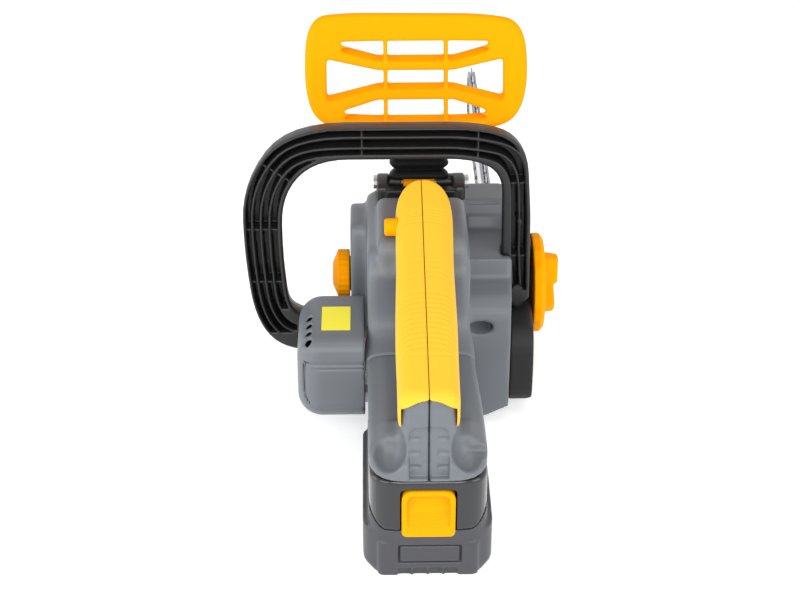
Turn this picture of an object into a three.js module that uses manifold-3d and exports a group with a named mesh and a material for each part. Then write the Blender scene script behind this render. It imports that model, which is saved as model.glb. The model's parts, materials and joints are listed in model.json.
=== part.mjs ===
// Cordless rear-handle chainsaw with a slide-on battery pack. Units are millimetres.
// +X points to the guide bar's side, +Y along the bar towards its tip and +Z up. The origin is on the
// plane that the saw rests on, below the front half of the body.
import * as THREE from "three";
import { mergeVertices } from "three/addons/utils/BufferGeometryUtils.js";
import Module from "manifold-3d";

const wasm = await Module();
wasm.setup();

// ---------------------------------------------------------------- driving dimensions
const GAP = 0.3; // clearance between two pieces that touch
const WALL = 3; // moulded wall
const SEAM = 0.15; // each housing half stops this far from the middle plane

const BODY = { left: -50, spineLeft: -38, spineRight: 33, right: 66, rear: -97, front: 112, top: 152 };
const SHOULDER = { rear: -6, top: 142, chamfer: 12 }; // wide left part that holds the oil tank
const FOOT = { rear: -222, halfWidth: 38, under: 75, top: 90 }; // rail above the battery pack
const POST = { halfWidth: 17, rear: -216, front: -180 }; // upright at the rear of the handle
const GRIP = { halfWidth: 19.5, skin: 3, depth: 37, rearY: -213, rearZ: 136, frontY: -18, frontZ: 188 };
const HOOD = { halfWidth: 31, rear: -62, front: 14, top: 165 };
const HAND_GAP = { rear: -178, front: -66, floor: 91 };

const PACK = { halfWidth: 38.5, shoulder: 42, length: 118, rear: -218, bottom: 0, split: 28, wall: 2.5 };
const LATCH = { width: 34, height: 31, top: 66, depth: 14, travel: 3 };

const MOTOR = { z: 59, radius: 27, left: -75, right: -14, shaft: 2.5, wall: 2 };
const MOTOR_COVER = { left: -87, rear: -94, front: -16, bottom: 19, top: 99, radius: 26 };
const GEAR = { module: 2.25, pinionTeeth: 10, gearTeeth: 30, pressureDeg: 25, left: 10, width: 9 };
const SPROCKET = { y: -10, z: 71, tipRadius: 17.4, teeth: 12, width: 5.6, shaft: 5 };
const BAR = { thickness: 3.2, halfHeight: 18, noseY: 389, tailY: 22, x: 58 };
const CHAIN = { height: 5.4, cutter: 1.6, width: 6.4, cutterPitch: 37.2 };
const STUD = { y: 42, radius: 4, left: 36, head: 7, headHeight: 4 };
const CASE = { top: 125, bottom: 4, coverRight: 86, bayTop: 32, bayLeft: 50 }; // chain case on the right
const RING = { radius: 35, left: 86.3, thickness: 9, hub: 11, notches: 16 };
const KNOB = { hub: 21, thickness: 9.5, wingWidth: 12 };
const BEARING = { radius: 11, inner: 3, outer: 38, width: 8 };
const SPIKE = { left: 43, thickness: 3 };
const CATCHER = { left: 54 };
const PUMP = { left: 22, right: 38, y: 30, z: 38, nozzle: 4 };
const TENSION_TRAVEL = 4; // how far the bar moves back

const CAP = { y: 28, z: 88, radius: 16.5, height: 12, plug: 10 };
const TANK = { left: -46, right: -4, rear: 2, front: 66, bottom: 58, top: 118, wall: 2.2, neck: 14 };

const HANDLE = { rear: -4, depth: 28, left: -126, right: 79.5, top: 219, bottom: 41, foot: 84, channel: 18 };
const GUARD = { width: 158, midX: -2.5, low: 44, high: 121, depth: 10, tiltDeg: 20, corner: 24, rib: 3 };
const PIVOT = { y: 37.5, z: 158.4, pin: 3 };
const TRIGGER = { y: -64, z: 150, halfWidth: 8, pin: 2.2, pinHalf: 11 };
const LOCK_OFF = { y: -52, z: 168, radius: 6, out: 26, back: -14, inner: 4 };
const BOARD = { bottom: 28, thickness: 1.6 };
const LEAD = { radius: 1.2, red: { x: -6, endZ: 51 }, black: { x: -11, endZ: 43 } };
const LAP = { width: 6, height: 2 }; // lip of the left half under the seam
const CURVE_STEPS = 3;

const motorY = SPROCKET.y - Math.sqrt(gearDistance() ** 2 - (SPROCKET.z - MOTOR.z) ** 2);

function gearDistance() {
  return (GEAR.module * (GEAR.pinionTeeth + GEAR.gearTeeth)) / 2;
}

// ---------------------------------------------------------------- solids
/** Turns a closed three.js geometry into a manifold solid. */
function solidOf(geometry) {
  const bare = geometry.clone();
  bare.deleteAttribute("normal");
  bare.deleteAttribute("uv");
  const merged = mergeVertices(bare, 1e-4);
  const vertProperties = new Float32Array(merged.attributes.position.array);
  const triVerts = new Uint32Array(merged.index.array);
  const mesh = new wasm.Mesh({ numProp: 3, vertProperties, triVerts });
  mesh.merge();
  return new wasm.Manifold(mesh);
}

/** Turns a manifold solid back into a three.js geometry, keeping only its largest body. */
function geometryOf(solid) {
  const bodies = solid.decompose().sort((a, b) => b.volume() - a.volume());
  const mesh = bodies[0].getMesh();
  const geometry = new THREE.BufferGeometry();
  geometry.setAttribute("position", new THREE.BufferAttribute(mesh.vertProperties, 3));
  geometry.setIndex(new THREE.BufferAttribute(mesh.triVerts, 1));
  geometry.computeVertexNormals();
  return geometry;
}

const join = (...solids) => solids.reduce((a, b) => a.add(b));
const cut = (solid, ...tools) => tools.reduce((a, b) => a.subtract(b), solid);

/** A closed outline from points [u, v, cornerRadius]; the radius may be left out. */
function outline(points) {
  const shape = new THREE.Shape();
  const count = points.length;
  points.forEach(([u, v, radius = 0], i) => {
    const before = points[(i + count - 1) % count];
    const after = points[(i + 1) % count];
    const corner = new THREE.Vector2(u, v);
    const reach = (p) => {
      const side = new THREE.Vector2(p[0], p[1]).sub(corner);
      const length = Math.min(radius, side.length() * 0.49);
      return side.normalize().multiplyScalar(length).add(corner);
    };
    const start = radius ? reach(before) : corner;
    if (i === 0) shape.moveTo(start.x, start.y);
    else shape.lineTo(start.x, start.y);
    if (radius) {
      const end = reach(after);
      shape.quadraticCurveTo(u, v, end.x, end.y);
    }
  });
  shape.closePath();
  return shape;
}

/** The points of an outline moved inwards by a distance; corners keep a smaller radius. */
function inset(points, distance) {
  const area = points.reduce((sum, p, i) => {
    const q = points[(i + 1) % points.length];
    return sum + p[0] * q[1] - q[0] * p[1];
  }, 0);
  const side = Math.sign(area) * distance;
  return points.map((p, i) => {
    const before = points[(i + points.length - 1) % points.length];
    const after = points[(i + 1) % points.length];
    const normal = (a, b) => new THREE.Vector2(a[1] - b[1], b[0] - a[0]).normalize();
    const one = normal(before, p);
    const two = normal(p, after);
    const bisector = one.clone().add(two);
    bisector.multiplyScalar(side / Math.max(0.3, 1 + one.dot(two)));
    return [p[0] + bisector.x, p[1] + bisector.y, Math.max(0, (p[2] ?? 0) - distance)];
  });
}

const rectangle = (u0, v0, u1, v1, r = 0) => [[u0, v0, r], [u1, v0, r], [u1, v1, r], [u0, v1, r]];

/** Extrudes an outline between two places on an axis: "x" takes (y, z), "y" (x, z), "z" (x, y). */
function prism(points, axis, from, to) {
  const shape = Array.isArray(points) ? outline(points) : points;
  const options = { depth: to - from, bevelEnabled: false, curveSegments: CURVE_STEPS };
  const geometry = new THREE.ExtrudeGeometry(shape, options);
  const matrix = new THREE.Matrix4();
  if (axis === "x") {
    matrix.set(0, 0, 1, from, 1, 0, 0, 0, 0, 1, 0, 0, 0, 0, 0, 1);
  } else if (axis === "y") {
    matrix.set(1, 0, 0, 0, 0, 0, -1, to, 0, 1, 0, 0, 0, 0, 0, 1);
  } else {
    matrix.makeTranslation(0, 0, from);
  }
  return solidOf(geometry.applyMatrix4(matrix));
}

/** A cylinder along an axis, centred at the other two coordinates. */
function rod(axis, centre, radius, from, to, sides = 24) {
  const geometry = new THREE.CylinderGeometry(radius, radius, to - from, sides);
  if (axis === "x") geometry.rotateZ(-Math.PI / 2);
  if (axis === "z") geometry.rotateX(Math.PI / 2);
  const middle = (from + to) / 2;
  const place = { x: [middle, ...centre], y: [centre[0], middle, centre[1]], z: [...centre, middle] };
  return solidOf(geometry.translate(...place[axis]));
}

/** A body turned about an X axis at (y, z) from [x, radius] pairs that start and end on the axis. */
function turned(profile, y, z, sides = 24) {
  const points = profile.map(([x, radius]) => new THREE.Vector2(radius, x));
  const geometry = new THREE.LatheGeometry(points, sides);
  return solidOf(geometry.rotateZ(-Math.PI / 2).translate(0, y, z));
}

/** A ring along X. */
const ring = (y, z, inner, outer, from, to, sides = 24) =>
  cut(rod("x", [y, z], outer, from, to, sides), rod("x", [y, z], inner, from - 1, to + 1, sides));

/** A round cord through points, with flat ends. */
function cord(points, radius, steps, sides = 8) {
  const path = new THREE.CatmullRomCurve3(points.map((p) => new THREE.Vector3(...p)));
  const section = new THREE.Shape();
  for (let i = 0; i < sides; i++) {
    const angle = (2 * Math.PI * i) / sides;
    const x = radius * Math.cos(angle);
    const y = radius * Math.sin(angle);
    if (i === 0) section.moveTo(x, y);
    else section.lineTo(x, y);
  }
  section.closePath();
  const options = { steps, bevelEnabled: false, extrudePath: path };
  return solidOf(new THREE.ExtrudeGeometry(section, options));
}

/** A coil spring between two points. */
function spring(start, end, radius, wire, turns) {
  const from = new THREE.Vector3(...start);
  const axis = new THREE.Vector3(...end).sub(from);
  const side = new THREE.Vector3(0, 1, 0).cross(axis);
  if (side.lengthSq() < 0.1) side.set(1, 0, 0);
  side.normalize();
  const other = axis.clone().cross(side).normalize();
  const count = turns * 8;
  const points = Array.from({ length: count + 1 }, (_, i) => {
    const angle = (2 * Math.PI * i) / 8;
    return from.clone()
      .addScaledVector(axis, i / count)
      .addScaledVector(side, radius * Math.cos(angle))
      .addScaledVector(other, radius * Math.sin(angle))
      .toArray();
  });
  return cord(points, wire, count, 5);
}

// ---------------------------------------------------------------- scene graph
const saw = new THREE.Group();
saw.name = "chainsaw";

const MATERIALS = {
  shell: [0x666b71, 0.5, 0],
  dark: [0x2e3032, 0.55, 0],
  black: [0x141414, 0.6, 0],
  gloss: [0x17181a, 0.25, 0],
  yellow: [0xffc42e, 0.45, 0],
  orange: [0xffa800, 0.4, 0],
  steel: [0xb5b8bb, 0.3, 1],
  darkSteel: [0x4a4c50, 0.4, 1],
  copper: [0xb87040, 0.4, 1],
  board: [0x1f6b3a, 0.5, 0],
  oil: [0xd8d4c4, 0.4, 0],
  cell: [0x2f6f9f, 0.4, 0],
  red: [0xb01818, 0.5, 0],
};

/** Adds one named mesh to the saw, or to a turned group inside it. */
function piece(name, solid, finish, parent = saw) {
  const [color, roughness, metalness] = MATERIALS[finish];
  const material = new THREE.MeshStandardMaterial({ color, roughness, metalness });
  const mesh = new THREE.Mesh(geometryOf(solid), material);
  mesh.name = name;
  parent.add(mesh);
  return mesh;
}

// ---------------------------------------------------------------- outlines
const gripSlope = (GRIP.frontZ - GRIP.rearZ) / (GRIP.frontY - GRIP.rearY);
const gripTop = (y) => GRIP.frontZ + (y - GRIP.frontY) * gripSlope;
const gripUnder = (y) => gripTop(y) - GRIP.depth;

/** Side view of the grip: a band below its sloping top line. */
const gripBand = (skin, rear, front, depth) => [
  [rear + skin, gripUnder(rear), 4],
  [rear + skin, gripTop(rear) - skin, 14],
  [front - skin - 2, gripTop(front - skin - 2) - skin, 6],
  [front - skin, gripTop(front) - depth, 2],
  [POST.front + 6, gripTop(POST.front + 6) - depth, 4],
];

/** Side view of the spine: the rail above the pack, the mid body and the front. */
const spineOutline = [
  [FOOT.rear, FOOT.under, 3],
  [BODY.rear, FOOT.under, 2],
  [BODY.rear, 8, 8],
  [BODY.rear + 30, 0, 8],
  [BODY.front - 10, 0, 10],
  [BODY.front, 40, 10],
  [BODY.front - 4, 112, 14],
  [BODY.front - 44, BODY.top, 8],
  [HAND_GAP.front + 16, BODY.top, 6],
  [HAND_GAP.front, 140, 8],
  [HAND_GAP.front - 4, HAND_GAP.floor + 8, 10],
  [HAND_GAP.front - 22, FOOT.top, 8],
  [FOOT.rear, FOOT.top, 6],
];

const hoodOutline = [
  [HOOD.rear, 138, 6],
  [HOOD.front, 138, 2],
  [HOOD.front, HOOD.top - 7, 5],
  [HOOD.front - 14, HOOD.top, 8],
  [HOOD.rear, HOOD.top - 5, 8],
];

/** Plan view of the rail: a rounded rear end. */
const footPlan = [
  [-FOOT.halfWidth, BODY.rear + 10], [FOOT.halfWidth, BODY.rear + 10],
  [FOOT.halfWidth, FOOT.rear, 22], [-FOOT.halfWidth, FOOT.rear, 22],
];

const postOutline = [
  [POST.rear, FOOT.top - 4, 2], [POST.front + 4, FOOT.top - 4, 2], [POST.front, 104, 10],
  [POST.front + 8, gripUnder(POST.front + 8) + 6, 4], [POST.rear + 4, GRIP.rearZ - 10, 12],
];

const caseOutline = [
  [-38, CASE.bottom + 2, 14], [94, CASE.bottom, 12], [106, 40, 12], [104, CASE.top - 16, 14],
  [88, CASE.top + 5, 8], [30, CASE.top, 6], [-12, CASE.top, 8], [-30, 106, 16], [-46, 80, 20],
  [-46, 40, 20],
];

const shoulderOutline = [
  [SHOULDER.rear, 12, 10], [SHOULDER.rear + 8, 2, 8], [BODY.front - 14, 2, 10], [BODY.front - 6, 40, 10],
  [BODY.front - 12, 104, 20], [34, SHOULDER.top, 12], [SHOULDER.rear, SHOULDER.top, 10],
];

const coverOutline = rectangle(
  MOTOR_COVER.rear, MOTOR_COVER.bottom, MOTOR_COVER.front, MOTOR_COVER.top, MOTOR_COVER.radius,
);

/** Front handle seen from behind: pairs of points on its outer and inner edge, from left to right. */
const handleEdges = {
  outer: [
    [BODY.left - 10, HANDLE.bottom, 2], [-100, HANDLE.bottom, 22], [HANDLE.left + 6, 66, 26],
    [HANDLE.left, 120, 30], [HANDLE.left, 175, 40], [-94, HANDLE.top, 42],
    [HANDLE.right - 35, HANDLE.top, 28], [HANDLE.right - 5, 206, 22], [HANDLE.right - 1, 150],
    [HANDLE.right, HANDLE.foot, 2],
  ],
  inner: [
    [BODY.left - 10, HANDLE.bottom + 28, 2], [-84, HANDLE.bottom + 28, 10], [-95, 78, 14],
    [HANDLE.left + 27.5, 120, 20], [HANDLE.left + 28, 168, 26], [-74, HANDLE.top - 23.5, 24],
    [HANDLE.right - 43, HANDLE.top - 23.5, 18], [HANDLE.right - 22, 182, 16], [HANDLE.right - 21, 120],
    [HANDLE.right - 15, HANDLE.foot - 4, 2],
  ],
};

/** A band between two shares of the way from the handle's outer to its inner edge. */
function handleBand(from, to, first, last, tip = []) {
  const at = (share) => handleEdges.outer.map((p, i) => {
    const q = handleEdges.inner[i];
    return p.map((v, k) => v + share * ((q[k] ?? 0) - v));
  }).slice(first, last + 1);
  return [...at(from), ...tip, ...at(to).reverse()];
}
const handleTip = [[HANDLE.right - 9, HANDLE.foot - 10, 2]];
const handleOutline = handleBand(0, 1, 0, 9, handleTip);

const spikeOutline = [
  [BODY.front - 22, 22], [BODY.front + 6, 20], [BODY.front + 14, 30], [BODY.front + 4, 34],
  [BODY.front + 16, 44], [BODY.front + 4, 48], [BODY.front - 22, 38],
];
const catcherOutline = [[60, -2, 2], [84, -2, 2], [86, 8, 2], [62, 12, 4]].map(([u, v, r]) => [u, v + 12, r]);

// ---------------------------------------------------------------- pockets that the halves share
const motorPocket = rod("x", [motorY, MOTOR.z], MOTOR.radius + GAP, MOTOR.left - 20, MOTOR.right + 4);
const gearPocket = join(
  rod("x", [SPROCKET.y, SPROCKET.z], 38, 1, GEAR.left + GEAR.width + 3),
  rod("x", [motorY, MOTOR.z], 16, MOTOR.right, GEAR.left + GEAR.width + 3),
);
const tankPocket = prism(
  rectangle(TANK.rear - GAP, TANK.bottom - GAP, TANK.front + GAP, TANK.top + GAP),
  "x", TANK.left - GAP, TANK.right + GAP,
);
const gripGap = prism([
  [HAND_GAP.rear, HAND_GAP.floor, 6], [HAND_GAP.front - 20, HAND_GAP.floor, 8],
  [HAND_GAP.front, HAND_GAP.floor + 14, 10], [HAND_GAP.front, gripUnder(HAND_GAP.front), 6],
  [HAND_GAP.rear + 4, gripUnder(HAND_GAP.rear + 4), 6],
], "x", -60, 60);

const SCREW = { shank: 2, head: 4, left: -20, seat: 12, right: 15 };
const screwSpots = [
  [BODY.rear + 13, 12], [BODY.front - 24, 22], [BODY.front - 24, 100], [FOOT.rear + 18, 82],
];
const screwHole = ([y, z]) => join(
  rod("x", [y, z], SCREW.shank + GAP, SCREW.left - GAP, SCREW.seat + 1, 10),
  rod("x", [y, z], SCREW.head + GAP, SCREW.seat, BODY.right + 4, 10),
);

/** Outer form of one housing half: side -1 is left and 1 is right. */
function housingForm(side) {
  const between = (width) => (side < 0 ? [-width, -SEAM] : [SEAM, width]);
  const spineEdge = side < 0 ? -BODY.spineLeft : BODY.spineRight;
  const coreWidth = GRIP.halfWidth - GRIP.skin;
  const foot = prism(footPlan, "z", FOOT.under, FOOT.top);
  const footHalf = prism(rectangle(...[between(60)[0], 0, between(60)[1], 230]), "y", FOOT.rear - 5, 0);
  const behindPack = prism(rectangle(-60, -5, 60, 230), "y", FOOT.rear - 5, BODY.rear + 4);
  const spine = join(
    cut(prism(spineOutline, "x", ...between(spineEdge)), behindPack),
    foot.intersect(footHalf),
  );
  const post = prism(postOutline, "x", ...between(POST.halfWidth));
  const core = prism(gripBand(GRIP.skin, POST.rear, HOOD.rear + 40, GRIP.depth), "x", ...between(coreWidth));
  const hood = prism(hoodOutline, "x", ...between(HOOD.halfWidth));
  return cut(join(spine, post, core, hood), gripGap);
}

/** Space inside the spine, crossed by ribs that carry the pieces in it. */
function spineCavity(x0, x1) {
  const room = prism([
    [BODY.rear + WALL, 10, 4], [BODY.rear + 32, WALL, 4], [BODY.front - 12, WALL, 6],
    [BODY.front - WALL - 1, 42, 6], [BODY.front - 8, 108, 8], [BODY.front - 46, BODY.top - WALL, 6],
    [HAND_GAP.front + 20, BODY.top - WALL, 4], [HAND_GAP.front + WALL + 2, 138, 4],
    [HAND_GAP.front + WALL, FOOT.top - 4, 4], [BODY.rear + WALL, FOOT.top - 6, 2],
  ], "x", x0, x1);
  const ribs = [motorY - 18, motorY + 18, 30, BODY.front - 24]
    .map((y) => prism(rectangle(-60, 0, 70, 160), "y", y - 2, y + 2));
  return cut(room, ...ribs);
}

// ---------------------------------------------------------------- housing halves
const gripRoom = prism([
  [POST.rear + 14, gripTop(POST.rear + 14) - 10, 4], [HOOD.rear - 16, gripTop(HOOD.rear - 16) - 10, 4],
  [HOOD.rear - 16, gripUnder(HOOD.rear - 16) + 4, 4], [POST.front + 6, gripUnder(POST.front + 6) + 4, 4],
], "x", -12, 12);
const triggerRoom = join(
  prism(rectangle(-TRIGGER.halfWidth, 100, TRIGGER.halfWidth, TRIGGER.z + 7), "y", TRIGGER.y - 38, TRIGGER.y + 7),
  rod("x", [TRIGGER.y, TRIGGER.z], TRIGGER.pin + GAP, -TRIGGER.pinHalf - GAP, TRIGGER.pinHalf + GAP, 12),
);
const lockOffHole = rod("x", [LOCK_OFF.y, LOCK_OFF.z], LOCK_OFF.radius + GAP, -40, -LOCK_OFF.inner + GAP, 16);
const railSlot = prism(rectangle(-24, FOOT.under - 1, 24, FOOT.top - WALL), "y", -196, BODY.rear + 8);
const handleRoom = prism(inset(handleOutline, -GAP), "y", HANDLE.rear - GAP, HANDLE.rear + HANDLE.depth + GAP);
const lip = (grow) => prism(
  rectangle(BODY.rear + 37 - grow, -grow, BODY.front - 18 + grow, LAP.height + grow), "x", -1, LAP.width + grow,
);
const leadPath = ({ x, endZ }) => [
  [x, 34, BOARD.bottom + 4], [x, 20, 32], [x, 0, 34], [x, -18, 36], [x, -34, endZ - 2],
  [MOTOR.right + 1.6, -40, endZ],
];
const leadRooms = [LEAD.red, LEAD.black].map((lead) => cord(leadPath(lead), LEAD.radius + 2 * GAP, 16));
const hubRoom = rod("x", [PIVOT.y, PIVOT.z], 12, -13, 13, 16);

function buildLeftHousing() {
  const shoulder = prism(shoulderOutline, "x", BODY.left, BODY.spineLeft + 1).intersect(
    prism([
      [BODY.left, 0], [10, 0], [10, BODY.top], [BODY.left + SHOULDER.chamfer + 7, BODY.top],
      [BODY.left, SHOULDER.top - 2],
    ], "y", -20, 140),
  );
  const neckHole = rod("x", [CAP.y, CAP.z], TANK.neck + GAP, BODY.left - 5, TANK.left + 5);
  const coverSeat = prism(inset(coverOutline, -GAP), "x", -100, BODY.spineLeft - 2);
  const left = cut(
    join(housingForm(-1), shoulder),
    spineCavity(BODY.spineLeft + WALL, 1), motorPocket, gearPocket, tankPocket, neckHole, gripRoom,
    triggerRoom, lockOffHole, railSlot, hubRoom, coverSeat, ...leadRooms, ...screwSpots.map(screwHole),
  );
  piece("housing_left", join(left, lip(0)), "shell");
}

function buildRightHousing() {
  const caseBlock = prism(caseOutline, "x", BODY.spineRight - 1, BODY.right);
  const bay = prism([
    [SPROCKET.y - 30, SPROCKET.z - 20, 10], [SPROCKET.y - 18, SPROCKET.z - CASE.bayTop, 10],
    [BODY.front + 18, SPROCKET.z - CASE.bayTop], [BODY.front + 18, SPROCKET.z + CASE.bayTop],
    [SPROCKET.y - 18, SPROCKET.z + CASE.bayTop, 10], [SPROCKET.y - 30, SPROCKET.z + 20, 10],
  ], "x", CASE.bayLeft, BODY.right + 1);
  const caseRoom = cut(
    prism(inset(caseOutline, WALL), "x", BODY.spineRight - 4, CASE.bayLeft - WALL),
    rod("x", [SPROCKET.y, SPROCKET.z], 14, 20, 60),
    rod("x", [STUD.y, SPROCKET.z], 12, 20, 60),
    prism(rectangle(14, 20, 46, 56), "x", 20, 60),
    prism(inset(spikeOutline, -WALL), "x", SPIKE.left - WALL, SPIKE.left + SPIKE.thickness + WALL),
  );
  const barPad = prism(
    rectangle(STUD.y - 18, SPROCKET.z - 16, BODY.front - 24, SPROCKET.z + 16, 6),
    "x", CASE.bayLeft - 1, BAR.x - BAR.thickness / 2 - GAP,
  );
  const bearing = BEARING.radius + GAP;
  const bearingPocket = rod("x", [SPROCKET.y, SPROCKET.z], bearing, BEARING.outer - GAP, CASE.bayLeft + 1);
  const shaftHole = rod("x", [SPROCKET.y, SPROCKET.z], SPROCKET.shaft + 3, 0, 60);
  const studHole = join(
    rod("x", [STUD.y, SPROCKET.z], STUD.radius + GAP, 20, 60, 16),
    prism(hexagon(STUD.y, SPROCKET.z, STUD.head + 2 * GAP), "x", 26, STUD.left + STUD.headHeight + GAP),
  );
  const pumpPocket = join(
    prism(inset(pumpOutline, -GAP), "x", PUMP.left - 2, PUMP.right + GAP),
    rod("x", [PUMP.y, PUMP.z], PUMP.nozzle + GAP, PUMP.right - 1, CASE.bayLeft + 1, 12),
  );
  const spikeSlot = prism(inset(spikeOutline, -GAP), "x", SPIKE.left - GAP, SPIKE.left + SPIKE.thickness + GAP);
  const catcherSlot = prism(inset(catcherOutline, -GAP), "x", CATCHER.left - GAP, BODY.right + 2);
  const right = cut(
    join(housingForm(1), caseBlock),
    spineCavity(-1, BODY.spineRight - WALL), caseRoom, cut(bay, barPad), bearingPocket, shaftHole, studHole, pumpPocket,
    motorPocket, gearPocket, tankPocket, gripRoom, triggerRoom, railSlot, hubRoom, spikeSlot, catcherSlot,
    handleRoom, lip(GAP), ...screwSpots.map(screwHole),
  );
  piece("housing_right", right, "shell");
}

function buildScrews() {
  const { shank, head, left, seat, right } = SCREW;
  screwSpots.forEach(([y, z], i) => {
    const profile = [[left, 0], [left, shank], [seat + GAP, shank], [seat + GAP, head], [right, head], [right, 0]];
    piece(`housing_screw_${i + 1}`, turned(profile, y, z, 10), "steel");
  });
}

function buildGripCovers() {
  const inner = GRIP.halfWidth - GRIP.skin + GAP;
  const nose = prism([
    [-GRIP.halfWidth, POST.rear], [-GRIP.halfWidth, GRIP.frontY - 26, 10], [-9, GRIP.frontY, 8],
    [9, GRIP.frontY, 8], [GRIP.halfWidth, GRIP.frontY - 26, 10], [GRIP.halfWidth, POST.rear],
  ], "z", 60, 220);
  const shell = cut(
    prism(gripBand(0, POST.rear, GRIP.frontY, 30), "x", -GRIP.halfWidth, GRIP.halfWidth).intersect(nose),
    prism(gripBand(GRIP.skin - GAP, POST.rear - 1, HOOD.rear + 40 + 2 * GAP, 60), "x", -inner, inner),
    prism(inset(postOutline, -GAP), "x", -POST.halfWidth - GAP, POST.halfWidth + GAP),
    prism(inset(hoodOutline, -GAP), "x", -HOOD.halfWidth - 1, HOOD.halfWidth + 1),
    prism(rectangle(POST.rear - 9, 60, POST.rear + 8, 200), "x", -30, 30),
  );
  const half = (a, b) => shell.intersect(prism(rectangle(a, 60, b, 230), "y", POST.rear - 20, 20));
  piece("grip_cover_left", cut(half(-30, -SEAM), lockOffHole), "yellow");
  piece("grip_cover_right", half(SEAM, 30), "yellow");
}

// ---------------------------------------------------------------- motor and gears
function buildMotor() {
  const room = inset(coverOutline, WALL);
  const cover = cut(
    prism(coverOutline, "x", MOTOR_COVER.left, BODY.spineLeft - 2 - GAP),
    prism(room, "x", MOTOR_COVER.left + WALL, BODY.spineLeft),
    ...Array.from({ length: 5 }, (_, i) => {
      const y = MOTOR_COVER.rear + 22 + i * 9;
      return prism(rectangle(y, 60, y + 4, 84), "x", MOTOR_COVER.left - 1, MOTOR_COVER.left + 4);
    }),
  );
  const seatRib = cut(
    prism(inset(coverOutline, WALL - 0.5), "x", -62, -57),
    rod("x", [motorY, MOTOR.z], MOTOR.radius + GAP, -70, -50),
  );
  piece("motor_cover", join(cover, seatRib), "shell");

  const bore = MOTOR.shaft + GAP;
  const can = turned([
    [MOTOR.left, bore], [MOTOR.left, MOTOR.radius], [MOTOR.right - 3, MOTOR.radius],
    [MOTOR.right - 3, MOTOR.radius - MOTOR.wall], [MOTOR.left + 3, MOTOR.radius - MOTOR.wall],
    [MOTOR.left + 3, bore], [MOTOR.left, bore],
  ], motorY, MOTOR.z);
  piece("motor_can", can, "darkSteel");
  const endPlate = ring(motorY, MOTOR.z, bore, MOTOR.radius, MOTOR.right - 3 + GAP, MOTOR.right);
  piece("motor_end_plate", endPlate, "steel");
  const rotor = turned([
    [MOTOR.left - 8, 0], [MOTOR.left - 8, MOTOR.shaft], [MOTOR.left + 9, MOTOR.shaft], [MOTOR.left + 9, 15],
    [MOTOR.right - 10, 15], [MOTOR.right - 10, MOTOR.shaft], [GEAR.left + GEAR.width, MOTOR.shaft],
    [GEAR.left + GEAR.width, 0],
  ], motorY, MOTOR.z, 20);
  piece("motor_rotor", rotor, "copper");
  const blades = Array.from({ length: 8 }, (_, i) => {
    const blade = new THREE.BoxGeometry(4, 2, 13);
    blade.translate(MOTOR.left - 4.4, 0, 14).rotateX((2 * Math.PI * i) / 8);
    return solidOf(blade.translate(0, motorY, MOTOR.z));
  });
  const hub = ring(motorY, MOTOR.z, bore, 9, MOTOR.left - 7, MOTOR.left - 1, 16);
  const disc = ring(motorY, MOTOR.z, bore, 22, MOTOR.left - 2.6, MOTOR.left - 1, 20);
  piece("motor_fan", join(hub, disc, ...blades), "black");
}

/** Spur gear along X with flanks on an involute, turned so that a tooth points at the phase angle. */
function gearWheel(teeth, y, z, bore, phase) {
  const pitch = (GEAR.module * teeth) / 2;
  const base = pitch * Math.cos(THREE.MathUtils.degToRad(GEAR.pressureDeg));
  const tip = pitch + 0.8 * GEAR.module;
  const root = pitch - 1.05 * GEAR.module;
  const roll = (r) => Math.sqrt(Math.max(0, (r / base) ** 2 - 1));
  const involute = (r) => roll(r) - Math.atan(roll(r));
  const backlash = 0.14;
  const halfPitchTooth = ((Math.PI * GEAR.module) / 4 - backlash) / pitch;
  const halfTooth = (r) => halfPitchTooth + involute(pitch) - involute(r);
  const foot = Math.max(root, base);
  const flank = [foot, tip].map((r) => [r, halfTooth(r)]);
  const half = [[root, halfTooth(foot) + 0.01], ...flank];
  const shape = new THREE.Shape();
  for (let i = 0; i < teeth; i++) {
    const centre = phase + (2 * Math.PI * i) / teeth;
    const path = [...half.map(([r, a]) => [r, -a]), ...half.toReversed()];
    path.forEach(([r, a], k) => {
      const u = r * Math.cos(centre + a);
      const v = r * Math.sin(centre + a);
      if (i === 0 && k === 0) shape.moveTo(u, v);
      else shape.lineTo(u, v);
    });
  }
  shape.closePath();
  const wheel = prism(shape, "x", GEAR.left, GEAR.left + GEAR.width).translate([0, y, z]);
  return cut(wheel, rod("x", [y, z], bore, GEAR.left - 1, GEAR.left + GEAR.width + 1, 16));
}

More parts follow.
